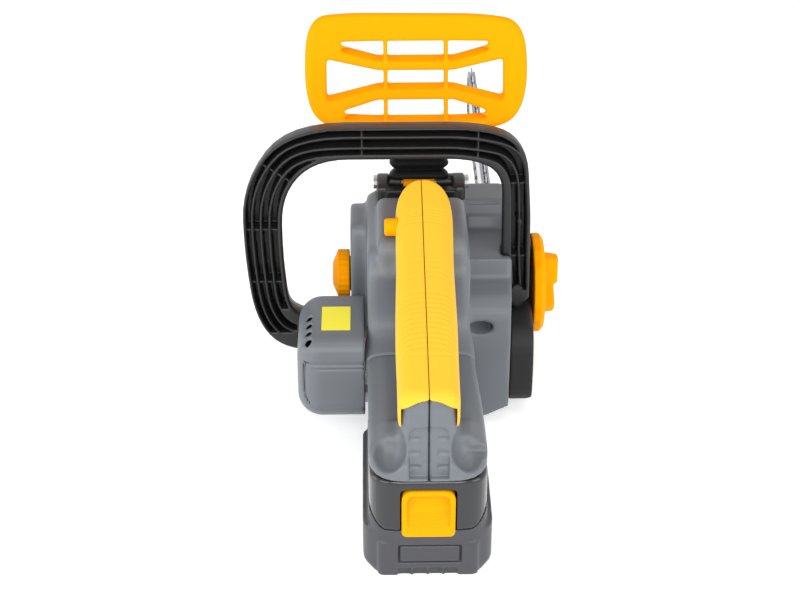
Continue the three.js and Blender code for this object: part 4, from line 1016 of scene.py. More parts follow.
# ------------------------------------------------------------------ guard
@dataclass
class Guard:
    """Orange hand guard on its pivot, with the bellows round its stem.

    Attributes:
        tilt: forward lean in degrees.
        depth: thickness of the frame.
        step: grid spacing.
    """

    tilt: float = 20.0
    depth: float = 10.0
    step: float = 1.0

    def place(self) -> Matrix:
        """Turns the guard's own plane into the saw's frame, in millimetres."""
        pivot = joint_place("chain_brake_swing")
        pivot.x = 0
        return Matrix.Translation(pivot) @ Matrix.Rotation(-math.radians(self.tilt), 4, "X")

    def windows(self) -> list[Outline]:
        """Corners of the nine windows between the ribs and the bent slats."""
        left, right, mid = -22.2, 18.2, -2.5
        out: list[Outline] = []
        rows = ((91.5, 101.4, 98.5, 101, 53), (71.6, 80.6, 62.5, 88.6, 63.5), (48.4, 59.6, 49.4, 52, 51))
        for low, high, outer_low, outer_high, reach in rows:
            out.append([(left, low, 1), (right, low, 1), (right, high, 1), (left, high, 1)])
            for side, edge in ((-1, left - 3), (1, right + 3)):
                bend = edge + side * 4
                far = mid + side * reach
                out.append([
                    (edge, low, 1), (bend, low, 3), (far, outer_low, 3), (far, outer_high, 3),
                    (bend, high, 3), (edge, high, 1),
                ])
        return out

    def solid(self, x: Array, y: Array, z: Array) -> Array:
        """Frame, slats and ribs in the guard's own plane."""
        left, right, low, high = -82.4, 79.4, 42, 121.6
        frame_line = rounded([
            (left + 9, low, 14), (left, low + 24, 22), (left + 2, high - 3, 30), (left + 32, high, 16),
            (right - 34, high - 1, 16), (right - 3, high - 6, 30), (right, low + 26, 22),
            (right - 10, low, 14), (34, low - 6, 8), (14, 22, 6), (12, 4, 3), (-12, 4, 3), (-14, 22, 6),
            (-36, low - 6, 8),
        ], 9)
        flat = outline_distance(frame_line, x, z)
        body = extruded(flat, span(y, -self.depth / 2, self.depth / 2), 4.5)
        for corners in self.windows():
            hole = outline_distance(rounded(corners, 5), x, z)
            drop = np.clip(3.5 - y, 0, 8.5) * 0.62
            sunk = outline_distance(rounded(corners, 3), x, z + drop)
            body = cut(body, np.minimum(hole, np.maximum(sunk, y - 3.5)), 1.2)
        foot = rounded([(-12, -7, 6), (12, -7, 6), (12, 26, 4), (-12, 26, 4)])
        stem = extruded(outline_distance(foot, x, z), span(y, -self.depth / 2, self.depth / 2), 2)
        body = join(body, stem, 1)
        return cut(body, np.hypot(y, z) - 3.3)

    def bellows(self) -> None:
        """Rubber sleeve of soft pleats, a closed skin round the stem."""
        rings = 64
        low, high = 3.2, 32.0
        around = 64
        points, faces = [], []
        rows = []
        for k in range(rings + 1):
            t = k / rings
            phase = (low + (high - low) * t - 14.4) / 9.0
            flare = 2.0 * (abs(math.cos(math.pi * phase)) * 2 - 1)
            rows.append((low + (high - low) * t, 19.4 + flare, 13.6 + flare))
        rows.append((high, 15.4, 8.0))
        rows.append((low, 15.4, 8.0))
        for height, half, deep in rows:
            for n in range(around):
                angle = 2 * math.pi * n / around
                c, s = math.cos(angle), math.sin(angle)
                points.append((
                    half * math.copysign(abs(c) ** 0.45, c), deep * math.copysign(abs(s) ** 0.45, s), height,
                ))
        total = len(rows)
        for k in range(total):
            for n in range(around):
                m = (n + 1) % around
                a, b = k * around, ((k + 1) % total) * around
                faces.append((a + n, a + m, b + m, b + n))
        turn = np.array(self.place())
        placed = np.array(points) @ turn[:3, :3].T + turn[:3, 3]
        piece = add_piece("bellows", mesh_of("bellows", placed, faces), "", RUBBER, ("guard_bellows",))
        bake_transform(piece)

    def build(self) -> None:
        """Casts the guard and makes its bellows."""
        cast_piece(
            "guard_frame", self.solid, (-83, -6, -9), (78, 6, 122), self.step, "guard", GUARD_ORANGE,
            ("hand_guard",), self.place(),
        )
        self.bellows()


# ------------------------------------------------------------------ battery pack
@dataclass
class BatteryPack:
    """Slide-on pack: dark lower case, glossy upper part and yellow latch.

    Attributes:
        half: half width of the upper part.
        rear: rear face.
        length: size along Y.
        step: grid spacing.
    """

    half: float = 38.0
    rear: float = -218.0
    length: float = 118.0
    step: float = 1.1

    def plan(self, half: float, corner: float = 18.0, inset: float = 0.0) -> Array:
        """Plan outline of the pack, drawn in at both ends by the inset."""
        front, rear = self.rear + self.length - inset, self.rear + inset
        return rounded([(-half, front, 6), (half, front, 6), (half, rear, corner), (-half, rear, corner)], 9)

    @staticmethod
    def split(x: Array, y: Array) -> Array:
        """Height of the line between the lower case and the upper part."""
        return 36 + 12 * np.clip((np.abs(x) - 27) / 11, 0, 1) ** 2

    def lower(self, x: Array, y: Array, z: Array) -> Array:
        """Lower case with shoulders, feet, a blank framed panel and slots."""
        body = extruded(outline_distance(self.plan(38.5), x, y), span(z, 0, 60), 2.5)
        body = np.maximum(body, (z - self.split(x, y)) * 0.75)
        wide = extruded(outline_distance(self.plan(42, 15, 4), x, y), span(z, 2, 40), 4)
        body = join(body, np.maximum(wide, (z - 33 - (y + 214) * 0.05) * 0.8), 2)
        middle = rounded([(-33, -150), (33, -150), (33, self.rear - 0.6, 5), (-33, self.rear - 0.6, 5)])
        body = join(body, extruded(outline_distance(middle, x, y), span(z, 0, 27), 2), 0.8)
        for n in range(6):
            rib = block(x, y, z, (-60, -204 + n * 16, -5), (60, -196 + n * 16, 3.4), 1.2)
            body = cut(body, np.maximum(rib, 38 - np.abs(x)), 0.6)
        near = y - (self.rear + 1.4)
        panel = rounded([(-18.7, 11), (20.8, 11), (20.8, 24), (-18.7, 24)])
        border = np.abs(outline_distance(panel, x, z)) - 0.55
        body = cut(body, np.maximum(border, near), 0.3)
        for centre in (-15.4, -5.3, 4.8, 14.9):
            slot = block(x, y, z, (centre - 4.2, -230, -5), (centre + 4.2, self.rear + 2.2, 6.6), 0.6)
            body = cut(body, slot, 0.4)
        room = extruded(outline_distance(self.plan(35.5, 14, 3), x, y), span(z, 2.6, 70), 0)
        return cut(body, room)

    def upper(self, x: Array, y: Array, z: Array) -> Array:
        """Glossy upper part with an apron whose lower edge dips in the middle."""
        body = extruded(outline_distance(self.plan(self.half), x, y), span(z, 20, 74.7), 3)
        body = np.maximum(body, (self.split(x, y) + 0.5 - z) * 0.75)
        room = extruded(outline_distance(self.plan(34.5, 14, 3.5), x, y), span(z, 10, 61), 0)
        body = cut(body, room)
        bay = block(x, y, z, (-17.9, -230, 30.6), (17.9, -200.4, 67.6), 3)
        body = cut(body, bay, 0.6)
        for side in (-1, 1):
            inner, outer = sorted((30 * side, 50 * side))
            body = cut(body, block(x, y, z, (inner, -198, 62), (outer, -90, 68)), 0.5)
        slot = block(x, y, z, (-14, -134, 65), (14, -90, 80))
        return cut(body, slot, 0.5)

    def latch(self, x: Array, y: Array, z: Array) -> Array:
        """Latch button with a raised rim and a ridged, scooped face."""
        rim = rounded([(-17.2, 31.4, 4), (17.2, 31.4, 4), (17.2, 67, 8), (-17.2, 67, 8)])
        body = extruded(outline_distance(rim, x, z), span(y, -219, -204), 1.2)
        scoop = rounded([(-13.6, 39, 4), (13.6, 39, 4), (13.6, 63.4, 5), (-13.6, 63.4, 5)])
        face = outline_distance(scoop, x, z)
        ridges = 0.35 * np.sin((z - 39) * 2 * math.pi / 2.5) * np.clip((53 - z) / 4, 0, 1)
        floor = y + 213.4 + (63.4 - z) * 0.2 + ridges
        return cut(body, np.maximum(face, floor), 0.8)

    def build(self) -> None:
        """Casts the three parts."""
        low, high = (-43, -220, -1), (43, -99, 50)
        cast_piece("pack_lower", self.lower, low, high, self.step, "battery", CASE, ("battery_case",))
        low, high = (-39, -219, 35), (39, -99, 76)
        cast_piece("pack_upper", self.upper, low, high, self.step, "battery", LID, ("battery_lid",))
        low, high = (-18, -220, 31), (18, -203, 68)
        cast_piece(
            "pack_latch", self.latch, low, high, 0.5, "battery_latch", LATCH_YELLOW, ("battery_latch",),
        )


# ------------------------------------------------------------------ right side
@dataclass
class CuttingSide:
    """Sprocket cover, tension wheel, lock knob, bar and chain.

    Attributes:
        stud: (y, z) of the bar stud.
        sprocket: (y, z) of the drive sprocket.
        root_y: centre of the bar's rear end.
        nose_y: centre of the bar's nose.
        tip_inset: how far the plate's nose stops short of that.
        chain_inset: how far the chain's front turn does.
        chain_rise: height of the chain's middle line over the bar's edge.
        half: half height of the bar.
    """

    stud: tuple[float, float] = STUD
    sprocket: tuple[float, float] = SPROCKET
    root_y: float = 40.0
    nose_y: float = 389.0
    tip_inset: float = 1.4
    chain_inset: float = 2.5
    chain_rise: float = 3.1
    half: float = 18.0

    def cover(self, x: Array, y: Array, z: Array) -> Array:
        """Charcoal cover over the sprocket and the bar's root."""
        side = rounded([
            (-36, 12, 14), (84, 9, 14), (98, 30, 14), (98, 100, 14), (84, 112, 14), (30, 112, 8), (28, 72, 3),
            (-30, 72, 12), (-40, 50, 16),
        ])
        flat = outline_distance(side, y, z)
        drop = np.maximum(-(y + 6), 0) * 0.06
        body = extruded(flat, span(x, 56, 83.6), 5)
        body = np.maximum(body, x - 81.4 - (y + 36) * 0.03)
        body = np.maximum(body, 66.3 - drop - x)
        body = np.maximum(body, (5.5 + (x - 66) * 0.75 - z) * 0.8)
        body = cut(body, extruded(flat + 3.2, span(x, 50, 77), 3))
        body = cut(body, np.maximum(disc(y, z, self.stud, 11.4), span(x, 60, 100)))
        body = cut(body, block(x, y, z, (55, 90, 44), (78, 120, 98)))
        return body

    def ring(self, x: Array, y: Array, z: Array) -> Array:
        """Tension wheel with a scalloped rim."""
        dy, dz = y - self.stud[0], z - self.stud[1]
        radius = np.hypot(dy, dz)
        angle = np.arctan2(dz, dy)
        rim = 37.0 + 0.4 * np.cos(16 * angle)
        body = extruded(radius - rim, span(x, 84.6, 93.2), 1.2)
        body = np.maximum(body, (radius - 37 + (x - 90.6) * 1.1) * 0.68)
        body = cut(body, np.maximum(radius - 21.4, 89.2 - x), 0.5)
        return cut(body, radius - 4.4)

    def knob(self, x: Array, y: Array, z: Array) -> Array:
        """Lock knob: a boss with three swept wings."""
        dy, dz = y - self.stud[0], z - self.stud[1]
        radius = np.hypot(dy, dz)
        body = extruded(radius - 20.9, span(x, 89.7, 94.6), 1.2)
        for n, reach in enumerate((104.7, 101.6, 101.6)):
            angle = 2 * math.pi * n / 3
            across = -dy * math.cos(angle) - dz * math.sin(angle)
            along = -dy * math.sin(angle) + dz * math.cos(angle)
            taper = (x - 93) * 0.12
            flat = np.maximum(np.abs(along - 11.5) - 12.3 + taper, np.abs(across) - 6.4 + taper)
            body = join(body, extruded(flat + 0.6, span(x, 92, reach), 1.8), 1.5)
        return cut(body, np.maximum(radius - 4.4, x - 99.6))

    def bar(self) -> None:
        """Ground steel bar with a rail groove, mounting slot and holes."""
        tip = self.nose_y - self.tip_inset
        mid_y = (tip + self.root_y) / 2

        def field(x: Array, y: Array, z: Array) -> Array:
            past_end = np.maximum(np.abs(y - mid_y) - (tip - mid_y), 0)
            flat = np.hypot(past_end, z - self.sprocket[1]) - self.half
            body = extruded(flat, np.abs(x - BAR_PLANE) - 1.6, 0.3)
            groove = np.maximum(np.abs(x - BAR_PLANE) - 0.6, -(flat + 3.0))
            body = cut(body, groove)
            slot = np.hypot(np.maximum(np.abs(y - 45) - 4, 0), z - self.sprocket[1]) - 4.4
            body = cut(body, slot)
            for place in (78, 330, 352):
                body = cut(body, disc(y, z, (place, self.sprocket[1]), 2.4))
            return body
        cast_piece("bar_plate", field, (55.9, 20, 52), (60.1, 408, 90), 0.8, "bar", BAR_STEEL, ("guide_bar",))

    def chain(self) -> None:
        """Chain of repeated links placed along the loop by geometry nodes."""
        links = {
            "chain_tie_links": (LinkShape.TIE, 0.0),
            "chain_cutters": (LinkShape.CUTTER, 0.5),
            "chain_drive_links": (LinkShape.DRIVE, 0.25),
        }
        for name, (shape, phase) in links.items():
            source = shape.mesh()
            nose_y = self.nose_y - self.chain_inset
            mesh = along_loop(name, source, self.sprocket, nose_y, self.half + self.chain_rise, phase)
            nodes = ("saw_chain",) if shape is LinkShape.TIE else ()
            add_piece(name, mesh, "bar", CHAIN_STEEL, nodes)

    def build(self) -> None:
        """Casts the right side's pieces."""
        cast_piece(
            "bar_cover", self.cover, (62, -41, 8), (85, 99, 113), 1.0, "body", CHARCOAL, ("sprocket_cover",),
        )
        cast_piece(
            "tension_wheel_rim", self.ring, (84, 4, 33), (94, 80, 109), 0.8, "tension_wheel",
            CONTROL_ORANGE, ("tension_ring",),
        )
        cast_piece(
            "lock_knob_wings", self.knob, (89, 16, 45), (105.4, 68, 97), 0.7, "lock_knob",
            CONTROL_ORANGE, ("lock_knob",),
        )
        self.bar()
        self.chain()


class LinkShape(Enum):
    """The three kinds of link in a saw chain."""

    TIE = "tie"
    CUTTER = "cutter"
    DRIVE = "drive"

    def mesh(self) -> bpy.types.Mesh:
        """Low-face link round its own middle; X across, Y along the chain, Z outwards.

        Returns:
            The link's mesh, in metres.
        """
        strap = [
            (-7.2, -1.6), (-5.6, -2.6), (5.6, -2.6), (7.2, -1.6), (7.2, 1.0), (5.6, 2.4), (2, 1.2), (-2, 1.2),
            (-5.6, 2.4), (-7.2, 1.0),
        ]
        cutter = [
            (-8.0, -1.6), (-6.4, -2.6), (6.4, -2.6), (8.0, -1.2), (7.6, 2.6), (5.4, 3.4), (3.0, 0.8),
            (0.2, 1.0), (-1.2, 3.9), (-7.6, 3.3),
        ]
        drive = [
            (-6.4, -2.4), (-2.0, -6.6), (2.6, -6.6), (6.4, -2.4), (6.4, 1.4), (3.0, 1.9), (-3.0, 1.9),
            (-6.4, 1.4),
        ]
        plates = {
            LinkShape.TIE: [(strap, -3.1, -1.5), (strap, 1.5, 3.1)],
            LinkShape.CUTTER: [(cutter, -3.1, -1.5), (strap, 1.5, 3.1)],
            LinkShape.DRIVE: [(drive, -0.6, 0.6)],
        }[self]
        shape = bmesh.new()
        for line, low, high in plates:
            sides = [[shape.verts.new((x * MM, y * MM, z * MM)) for y, z in line] for x in (low, high)]
            count = len(line)
            shape.faces.new(sides[0][::-1])
            shape.faces.new(sides[1])
            for n in range(count):
                m = (n + 1) % count
                shape.faces.new((sides[0][n], sides[0][m], sides[1][m], sides[1][n]))
        if self is LinkShape.CUTTER:
            add_box(shape, (-2.9, -7.4, 3.0), (1.9, -1.4, 4.1))
        if self is LinkShape.TIE:
            for place in (-4.6, 4.6):
                add_box(shape, (-3.3, place - 1.1, -1.2), (3.3, place + 1.1, 1.0))
        bmesh.ops.recalc_face_normals(shape, faces=shape.faces)
        mesh = bpy.data.meshes.new(f"link_{self.value}")
        shape.to_mesh(mesh)
        shape.free()
        return mesh


def add_box(shape: bmesh.types.BMesh, low: Point, high: Point) -> None:
    """Adds a closed box, in millimetres, to a bmesh."""
    middle = [(a + b) / 2 * MM for a, b in zip(low, high)]
    size = [(b - a) * MM for a, b in zip(low, high)]
    place = Matrix.Translation(middle) @ Matrix.Diagonal((*size, 1))
    bmesh.ops.create_cube(shape, size=1.0, matrix=place)


def loop_curve(name: str, rear: tuple[float, float], nose_y: float, radius: float) -> bpy.types.Object:
    """Closed poly curve that a chain follows, in metres.

    Args:
        name: the curve's name.
        rear: (y, z) of the rear circle.
        nose_y: y of the front circle.
        radius: radius of both circles.

    Returns:
        The curve object.
    """
    points = []
    steps = 24
    for centre, start in ((rear[0], 90), (nose_y, -90)):
        for n in range(steps + 1):
            angle = math.radians(start + 180 * n / steps)
            points.append((BAR_PLANE, centre + radius * math.cos(angle), rear[1] + radius * math.sin(angle)))
    curve = bpy.data.curves.new(name, "CURVE")
    curve.dimensions = "3D"
    line = curve.splines.new("POLY")
    line.points.add(len(points) - 1)
    for point, place in zip(line.points, points):
        point.co = (*(v * MM for v in place), 1)
    line.use_cyclic_u = True
    return bpy.data.objects.new(name, curve)


def along_loop(
    name: str, source: bpy.types.Mesh, rear: tuple[float, float], nose_y: float, radius: float, phase: float,
) -> bpy.types.Mesh:
    """Repeats a link along the chain's loop with a geometry node tree and returns one plain mesh.

    Args:
        name: name of the new mesh.
        source: the link.
        rear: (y, z) of the drive sprocket.
        nose_y: y of the bar's nose.
        radius: radius of the chain's middle line.
        phase: share of a pitch that the links are moved by.

    Returns:
        The mesh with every link.
    """
    length = 2 * (nose_y - rear[0]) + 2 * math.pi * radius
    count = round(length / CHAIN_PITCH)
    tree = bpy.data.node_groups.new(name, "GeometryNodeTree")
    sockets = {
        "Geometry": "Geometry", "Link": "Object", "Count": "Int", "Phase": "Float", "Material": "Material",
    }
    for label, kind in sockets.items():
        tree.interface.new_socket(label, in_out="INPUT", socket_type=f"NodeSocket{kind}")
    tree.interface.new_socket("Geometry", in_out="OUTPUT", socket_type="NodeSocketGeometry")
    nodes, links = tree.nodes, tree.links
    entry, leave = nodes.new("NodeGroupInput"), nodes.new("NodeGroupOutput")
    spots = nodes.new("GeometryNodePoints")
    number = nodes.new("GeometryNodeInputIndex")
    moved = nodes.new("ShaderNodeMath")
    moved.operation = "ADD"
    share = nodes.new("ShaderNodeMath")
    share.operation = "DIVIDE"
    sample = nodes.new("GeometryNodeSampleCurve")
    sample.mode = "FACTOR"
    place = nodes.new("GeometryNodeSetPosition")
    turn = nodes.new("FunctionNodeAxesToRotation")
    turn.primary_axis = "Y"
    turn.secondary_axis = "X"
    turn.inputs["Secondary Axis"].default_value = (1, 0, 0)
    link = nodes.new("GeometryNodeObjectInfo")
    copies = nodes.new("GeometryNodeInstanceOnPoints")
    real = nodes.new("GeometryNodeRealizeInstances")
    paint = nodes.new("GeometryNodeSetMaterial")
    links.new(entry.outputs["Count"], spots.inputs["Count"])
    links.new(number.outputs["Index"], moved.inputs[0])
    links.new(entry.outputs["Phase"], moved.inputs[1])
    links.new(moved.outputs["Value"], share.inputs[0])
    links.new(entry.outputs["Count"], share.inputs[1])
    links.new(entry.outputs["Geometry"], sample.inputs["Curves"])
    links.new(share.outputs["Value"], sample.inputs["Factor"])
    links.new(spots.outputs["Points"], place.inputs["Geometry"])
    links.new(sample.outputs["Position"], place.inputs["Position"])
    keep = nodes.new("GeometryNodeStoreNamedAttribute")
    keep.data_type = "FLOAT_VECTOR"
    keep.inputs["Name"].default_value = "heading"
    links.new(place.outputs["Geometry"], keep.inputs["Geometry"])
    links.new(sample.outputs["Tangent"], keep.inputs["Value"])
    heading = nodes.new("GeometryNodeInputNamedAttribute")
    heading.data_type = "FLOAT_VECTOR"
    heading.inputs["Name"].default_value = "heading"
    links.new(heading.outputs["Attribute"], turn.inputs["Primary Axis"])
    links.new(entry.outputs["Link"], link.inputs["Object"])
    links.new(keep.outputs["Geometry"], copies.inputs["Points"])
    links.new(link.outputs["Geometry"], copies.inputs["Instance"])
    links.new(turn.outputs["Rotation"], copies.inputs["Rotation"])
    links.new(copies.outputs["Instances"], real.inputs["Geometry"])
    links.new(real.outputs["Geometry"], paint.inputs["Geometry"])
    links.new(entry.outputs["Material"], paint.inputs["Material"])
    links.new(paint.outputs["Geometry"], leave.inputs["Geometry"])

    loop = loop_curve(f"{name}_path", rear, nose_y, radius)
    pattern = bpy.data.objects.new(f"{name}_link", source)
    for helper in (loop, pattern):
        bpy.context.scene.collection.objects.link(helper)
    modifier = loop.modifiers.new(name, "NODES")
    modifier.node_group = tree
    values = {"Link": pattern, "Count": count, "Phase": phase, "Material": CHAIN_STEEL.material()}
    for item in tree.interface.items_tree:
        if item.in_out == "INPUT" and item.name in values:
            modifier[item.identifier] = values[item.name]
    bpy.context.view_layer.update()
    scene = bpy.context.evaluated_depsgraph_get()
    mesh = bpy.data.meshes.new_from_object(loop.evaluated_get(scene))
    mesh.name = name
    for helper in (loop, pattern):
        bpy.data.objects.remove(helper)
    return mesh


# ------------------------------------------------------------------ small controls
@dataclass
class Controls:
    """Oil cap, trigger, lock-off button and the guard's bracket.

    Attributes:
        cap: (y, z) of the oil cap.
    """

    cap: tuple[float, float] = OIL_CAP

    def oil_cap(self, x: Array, y: Array, z: Array) -> Array:
        """Round cap with a finely fluted, chamfered rim and a plug."""
        dy, dz = y - self.cap[0], z - self.cap[1]
        radius = np.hypot(dy, dz)
        angle = np.arctan2(dz, dy)
        rim = 17.6 + 0.2 * np.cos(24 * angle)
        body = extruded(radius - rim, span(x, -63.6, -51.0), 0.8)
        body = np.maximum(body, (radius - 17.8 - (x + 59.6) * 2.4) * 0.38)
        plug = extruded(radius - 9.8, span(x, -52, -42.2), 0.5)
        return join(body, plug)

    def press(self, x: Array, y: Array, z: Array) -> Array:
        """Lock-off button with a domed end."""
        return extruded(disc(y, z, LOCK_OFF, 6), span(x, -26, -14), 1.8)

    def trigger(self, x: Array, y: Array, z: Array) -> Array:
        """Curved trigger blade."""
        side = rounded([
            (-60, 145, 3), (-60, 154, 4), (-70, 154, 4), (-92, 140, 6), (-95, 128, 6), (-84, 116, 10),
            (-72, 108, 4), (-68, 112, 4), (-72, 128, 10),
        ])
        body = extruded(outline_distance(side, y, z), span(x, -7.4, 7.4), 2.4)
        return cut(body, disc(y, z, TRIGGER_PIN, 2.5))

    def bracket(self, x: Array, y: Array, z: Array) -> Array:
        """Two-eared bracket below the bellows."""
        side = rounded([
            (18, 152.3, 1), (58, 152.3, 1), (50, 158, 6), (43, 163.2, 5), (33, 164.4, 5), (20, 163, 4),
        ])
        flat = outline_distance(side, y, z)
        body = extruded(flat, span(x, -30.4, -21.8), 1.6)
        body = join(body, extruded(flat, span(x, 23.6, 33), 1.6))
        bar = block(x, y, z, (-24, 16, 152.3), (26, 25, 161.5), 1.5)
        floor = block(x, y, z, (-24, 16, 152.3), (26, 60, 154.3), 0.2)
        body = join(join(body, bar, 1), cut(floor, block(x, y, z, (-12.6, 24, 150), (12.6, 51, 180))))
        both_sides = np.minimum(span(x, -22.4, -12.8), span(x, 12.8, 24))
        lugs = np.maximum(disc(y, z, GUARD_PIVOT, 5.2), both_sides)
        body = join(body, lugs)
        return cut(body, disc(y, z, GUARD_PIVOT, 3.3))

    def build(self) -> None:
        """Casts each control."""
        y, z = self.cap
        cast_piece(
            "filler_cap", self.oil_cap, (-64, y - 19, z - 19), (-41, y + 19, z + 19), 0.7, "cap",
            CONTROL_ORANGE, ("oil_cap",),
        )
        cast_piece(
            "lock_off", self.press, (-27, -59, 161), (-13, -45, 175), 0.6, "lock_off", CONTROL_ORANGE,
            ("lock_off_button",),
        )
        cast_piece(
            "trigger_blade", self.trigger, (-8, -96, 107), (8, -59, 155), 0.8, "trigger", BLACK, ("trigger",),
        )
        cast_piece(
            "guard_mount", self.bracket, (-31, 14, 152), (34, 63, 166), 0.8, "body", BLACK,
            ("guard_bracket",),
        )


# ------------------------------------------------------------------ carried-over parts
CARRIED = {
    "housing_grey": SHELL, "motor_cover_grey": COVER, "cover_charcoal": CHARCOAL, "grip_yellow": GRIP_YELLOW,
    "guard_orange": GUARD_ORANGE, "control_orange": CONTROL_ORANGE, "latch_yellow": LATCH_YELLOW,
    "handle_black": BLACK, "bellows_rubber": RUBBER, "pack_gloss": LID, "pack_dark": CASE,
    "cell_wrap": Finish("cell_wrap", Slot.CASE, (0.03, 0.16, 0.42), 0.35),
    "bar_steel": BAR_STEEL, "chain_steel": CHAIN_STEEL, "zinc_steel": ZINC,
    "machined_steel": Finish("machined_steel", Slot.ZINC, (0.5, 0.5, 0.51), 0.36, metal=1.0),
    "rotor_copper": Finish("rotor_copper", Slot.ZINC, (0.72, 0.36, 0.16), 0.38, metal=1.0),
    "tank_plastic": Finish("tank_plastic", Slot.CASE, (0.72, 0.7, 0.6), 0.4),
    "board_green": Finish("board_green", Slot.CASE, (0.02, 0.16, 0.06), 0.4),
    "lead_red": Finish("lead_red", Slot.CASE, (0.45, 0.01, 0.01), 0.45),
}


def dress_frame() -> None:
    """Gives each carried-over CAD node its finish."""
    slots = {part["node"]: part["material_slot"] for part in frame["record"]["subparts"]}
    for name, node in frame["nodes"].items():
        finish = BLACK if name.startswith("handle_screw") else CARRIED[slots[name]]
        material = finish.material()
        node.data.materials.clear()
        node.data.materials.append(material)
        LOG.info("%s: %s", name, material.name)


# ------------------------------------------------------------------ springs
@dataclass
class Spring:
    """Coil spring swept inside the box of a frame node.

    Attributes:
        node: the frame node it stands in for.
        axis: index of its long axis.
        ends: bodies meant to carry its low and its high end; not used.
        wire: half thickness of the wire, in millimetres.
        turns: number of coils.
    """

    node: str
    axis: int
    ends: tuple[str, str]
    wire: float = 0.5
    turns: int = 4

    def build(self) -> None:
        """Sweeps the coil inside the node's box."""
        source = bpy.data.objects[self.node]
        corners = np.array([source.matrix_world @ Vector(corner) for corner in source.bound_box]) / MM
        low, high = corners.min(axis=0), corners.max(axis=0)
        middle = (low + high) / 2
        others = [n for n in range(3) if n != self.axis]
        radius = float(high[others[0]] - low[others[0]]) / 2 - self.wire
        steps, sides = 28 * self.turns, 8
        bottom = low[self.axis] + self.wire
        points, faces = [], []
        for k in range(steps + 1):
            turn = 2 * math.pi * self.turns * k / steps
            height = bottom + (high[self.axis] - low[self.axis] - 2 * self.wire) * k / steps
            for n in range(sides):
                angle = 2 * math.pi * n / sides
                reach = radius + self.wire * math.cos(angle)
                point = [0.0, 0.0, 0.0]
                point[self.axis] = height + self.wire * math.sin(angle)
                point[others[0]] = middle[others[0]] + reach * math.cos(turn)
                point[others[1]] = middle[others[1]] + reach * math.sin(turn)
                points.append(point)
        for k in range(steps):
            for n in range(sides):
                m = (n + 1) % sides
                a, b = k * sides, (k + 1) * sides
                faces.append((a + n, b + n, b + m, a + m))
        last = steps * sides
        for a, b, c, d in ((0, 1, 2, 3), (0, 3, 4, 5), (0, 5, 6, 7)):
            faces += [(a, b, c, d), (last + d, last + c, last + b, last + a)]
        if self.axis == 1:
            faces = [tuple(reversed(face)) for face in faces]
        name = f"{self.node}_coil"
        piece = add_piece(name, mesh_of(name, np.array(points), faces), "", ZINC, (self.node,))
        start, end = middle.copy(), middle.copy()
        start[self.axis], end[self.axis] = low[self.axis], high[self.axis]
        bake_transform(piece)


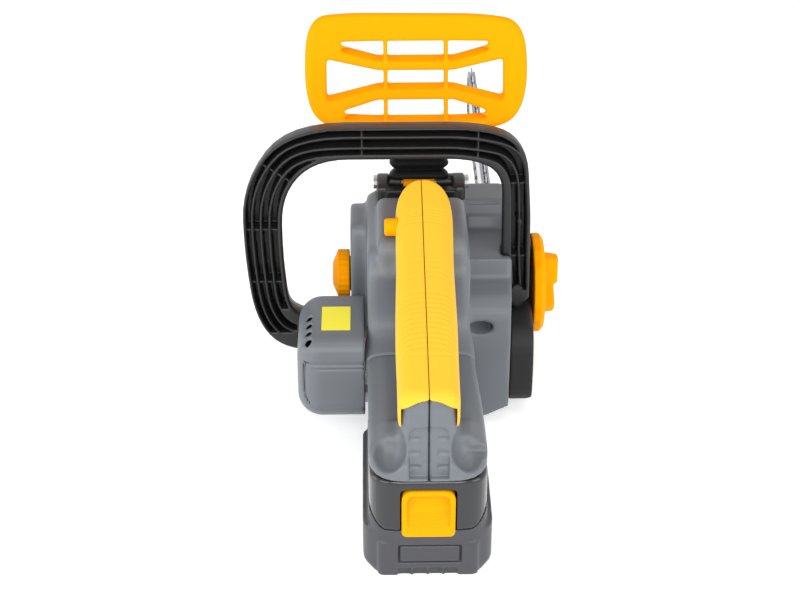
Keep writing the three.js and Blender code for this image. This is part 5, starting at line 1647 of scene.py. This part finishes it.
# ------------------------------------------------------------------ stage
@dataclass
class Stage:
    """Floor, lamps, world and camera.

    Attributes:
        elevation: camera height above the horizon, in degrees.
        yaw: camera turn about Z, in degrees.
        distance: metres from the target.
        target: what the camera looks at, in metres.
        lens: focal length for a 36 mm sensor.
    """

    elevation: float = 30.0
    yaw: float = -1.0
    distance: float = 1.3
    target: tuple[float, float, float] = (-0.0147, -0.018, 0.091)
    lens: float = 81.36

    def camera(self) -> None:
        """Places the camera."""
        e, w = math.radians(self.elevation), math.radians(self.yaw)
        forward = Vector((-math.sin(w) * math.cos(e), math.cos(w) * math.cos(e), -math.sin(e)))
        right = Vector((math.cos(w), math.sin(w), 0))
        up = right.cross(forward)
        data = bpy.data.cameras.new("camera")
        data.lens = self.lens
        data.sensor_width = 36
        data.clip_start = 0.05
        eye = bpy.data.objects.new("camera", data)
        turn = Matrix((right, up, -forward)).transposed().to_4x4()
        eye.matrix_world = Matrix.Translation(Vector(self.target) - forward * self.distance) @ turn
        bpy.context.scene.collection.objects.link(eye)
        bpy.context.scene.camera = eye

    def lamp(self, name: str, place: Point, aim: Point, size: float, power: float) -> None:
        """Adds a soft area lamp.

        Args:
            name: lamp name.
            place: position in metres.
            aim: what it points at.
            size: side of the square.
            power: watts.
        """
        data = bpy.data.lights.new(name, "AREA")
        data.size = size
        data.energy = power
        lamp = bpy.data.objects.new(name, data)
        lamp.location = place
        lamp.rotation_euler = (Vector(aim) - Vector(place)).to_track_quat("-Z", "Y").to_euler()
        bpy.context.scene.collection.objects.link(lamp)

    def floor(self) -> None:
        """Pale floor that stays white to the camera and keeps the shadow."""
        reach = 6e3
        corners = np.array([(-reach, -reach, 0), (reach, -reach, 0), (reach, reach, 0), (-reach, reach, 0)])
        mesh = mesh_of("floor", corners, [(0, 1, 2, 3)], smooth=False)
        material = bpy.data.materials.new("floor_white")
        material.use_nodes = True
        surface = material.node_tree.nodes["Principled BSDF"]
        surface.inputs["Base Color"].default_value = (0.93, 0.93, 0.93, 1)
        surface.inputs["Emission Color"].default_value = (1, 1, 1, 1)
        surface.inputs["Emission Strength"].default_value = 0.4
        surface.inputs["Roughness"].default_value = 0.9
        mesh.materials.append(material)
        plane = bpy.data.objects.new("floor", mesh)
        bpy.context.scene.collection.objects.link(plane)

    def world(self) -> None:
        """White surroundings."""
        world = bpy.data.worlds.new("studio")
        world.use_nodes = True
        bpy.context.scene.world = world
        nodes, links = world.node_tree.nodes, world.node_tree.links
        back = nodes["Background"]
        back.inputs["Color"].default_value = (1, 1, 1, 1)
        path = nodes.new("ShaderNodeLightPath")
        seen = nodes.new("ShaderNodeMath")
        seen.operation = "MAXIMUM"
        links.new(path.outputs["Is Camera Ray"], seen.inputs[0])
        links.new(path.outputs["Is Glossy Ray"], seen.inputs[1])
        level = nodes.new("ShaderNodeMapRange")
        level.inputs["To Min"].default_value = 0.45
        level.inputs["To Max"].default_value = 1.0
        links.new(seen.outputs["Value"], level.inputs["Value"])
        links.new(level.outputs["Result"], back.inputs["Strength"])

    def build(self) -> None:
        """Builds the whole stage."""
        bpy.context.scene.view_settings.view_transform = "Standard"
        self.camera()
        self.floor()
        self.world()
        saw = (0, 0, 0.1)
        self.lamp("key", (-1.0, -1.3, 0.9), saw, 1.0, 12)
        self.lamp("fill", (1.3, -1.0, 0.8), saw, 1.0, 12)
        self.lamp("front", (0.05, -1.8, 1.25), saw, 0.8, 14)
        self.lamp("rim", (-1.5, -0.1, 0.5), saw, 1.0, 9)
        self.lamp("top", (0.25, -0.5, 1.9), (0.02, 0, 0.1), 1.2, 7)


def main() -> None:
    """Builds every sub-assembly in order."""
    logging.basicConfig(level=logging.INFO, format="%(name)s: %(message)s")
    Stage().build()
    dress_frame()
    grip = Handle()
    for part in (
        Housing(grip), GripCovers(grip), MotorCover(), FrontHandle(), Guard(), BatteryPack(), CuttingSide(),
        Controls(),
        Spring("trigger_spring", 2, ("trigger", "body")), Spring("lock_off_spring", 0, ("lock_off", "body")),
        Spring("battery_latch_spring", 1, ("battery_latch", "battery"), turns=3),
    ):
        part.build()


if __name__ == "__main__":
    main()
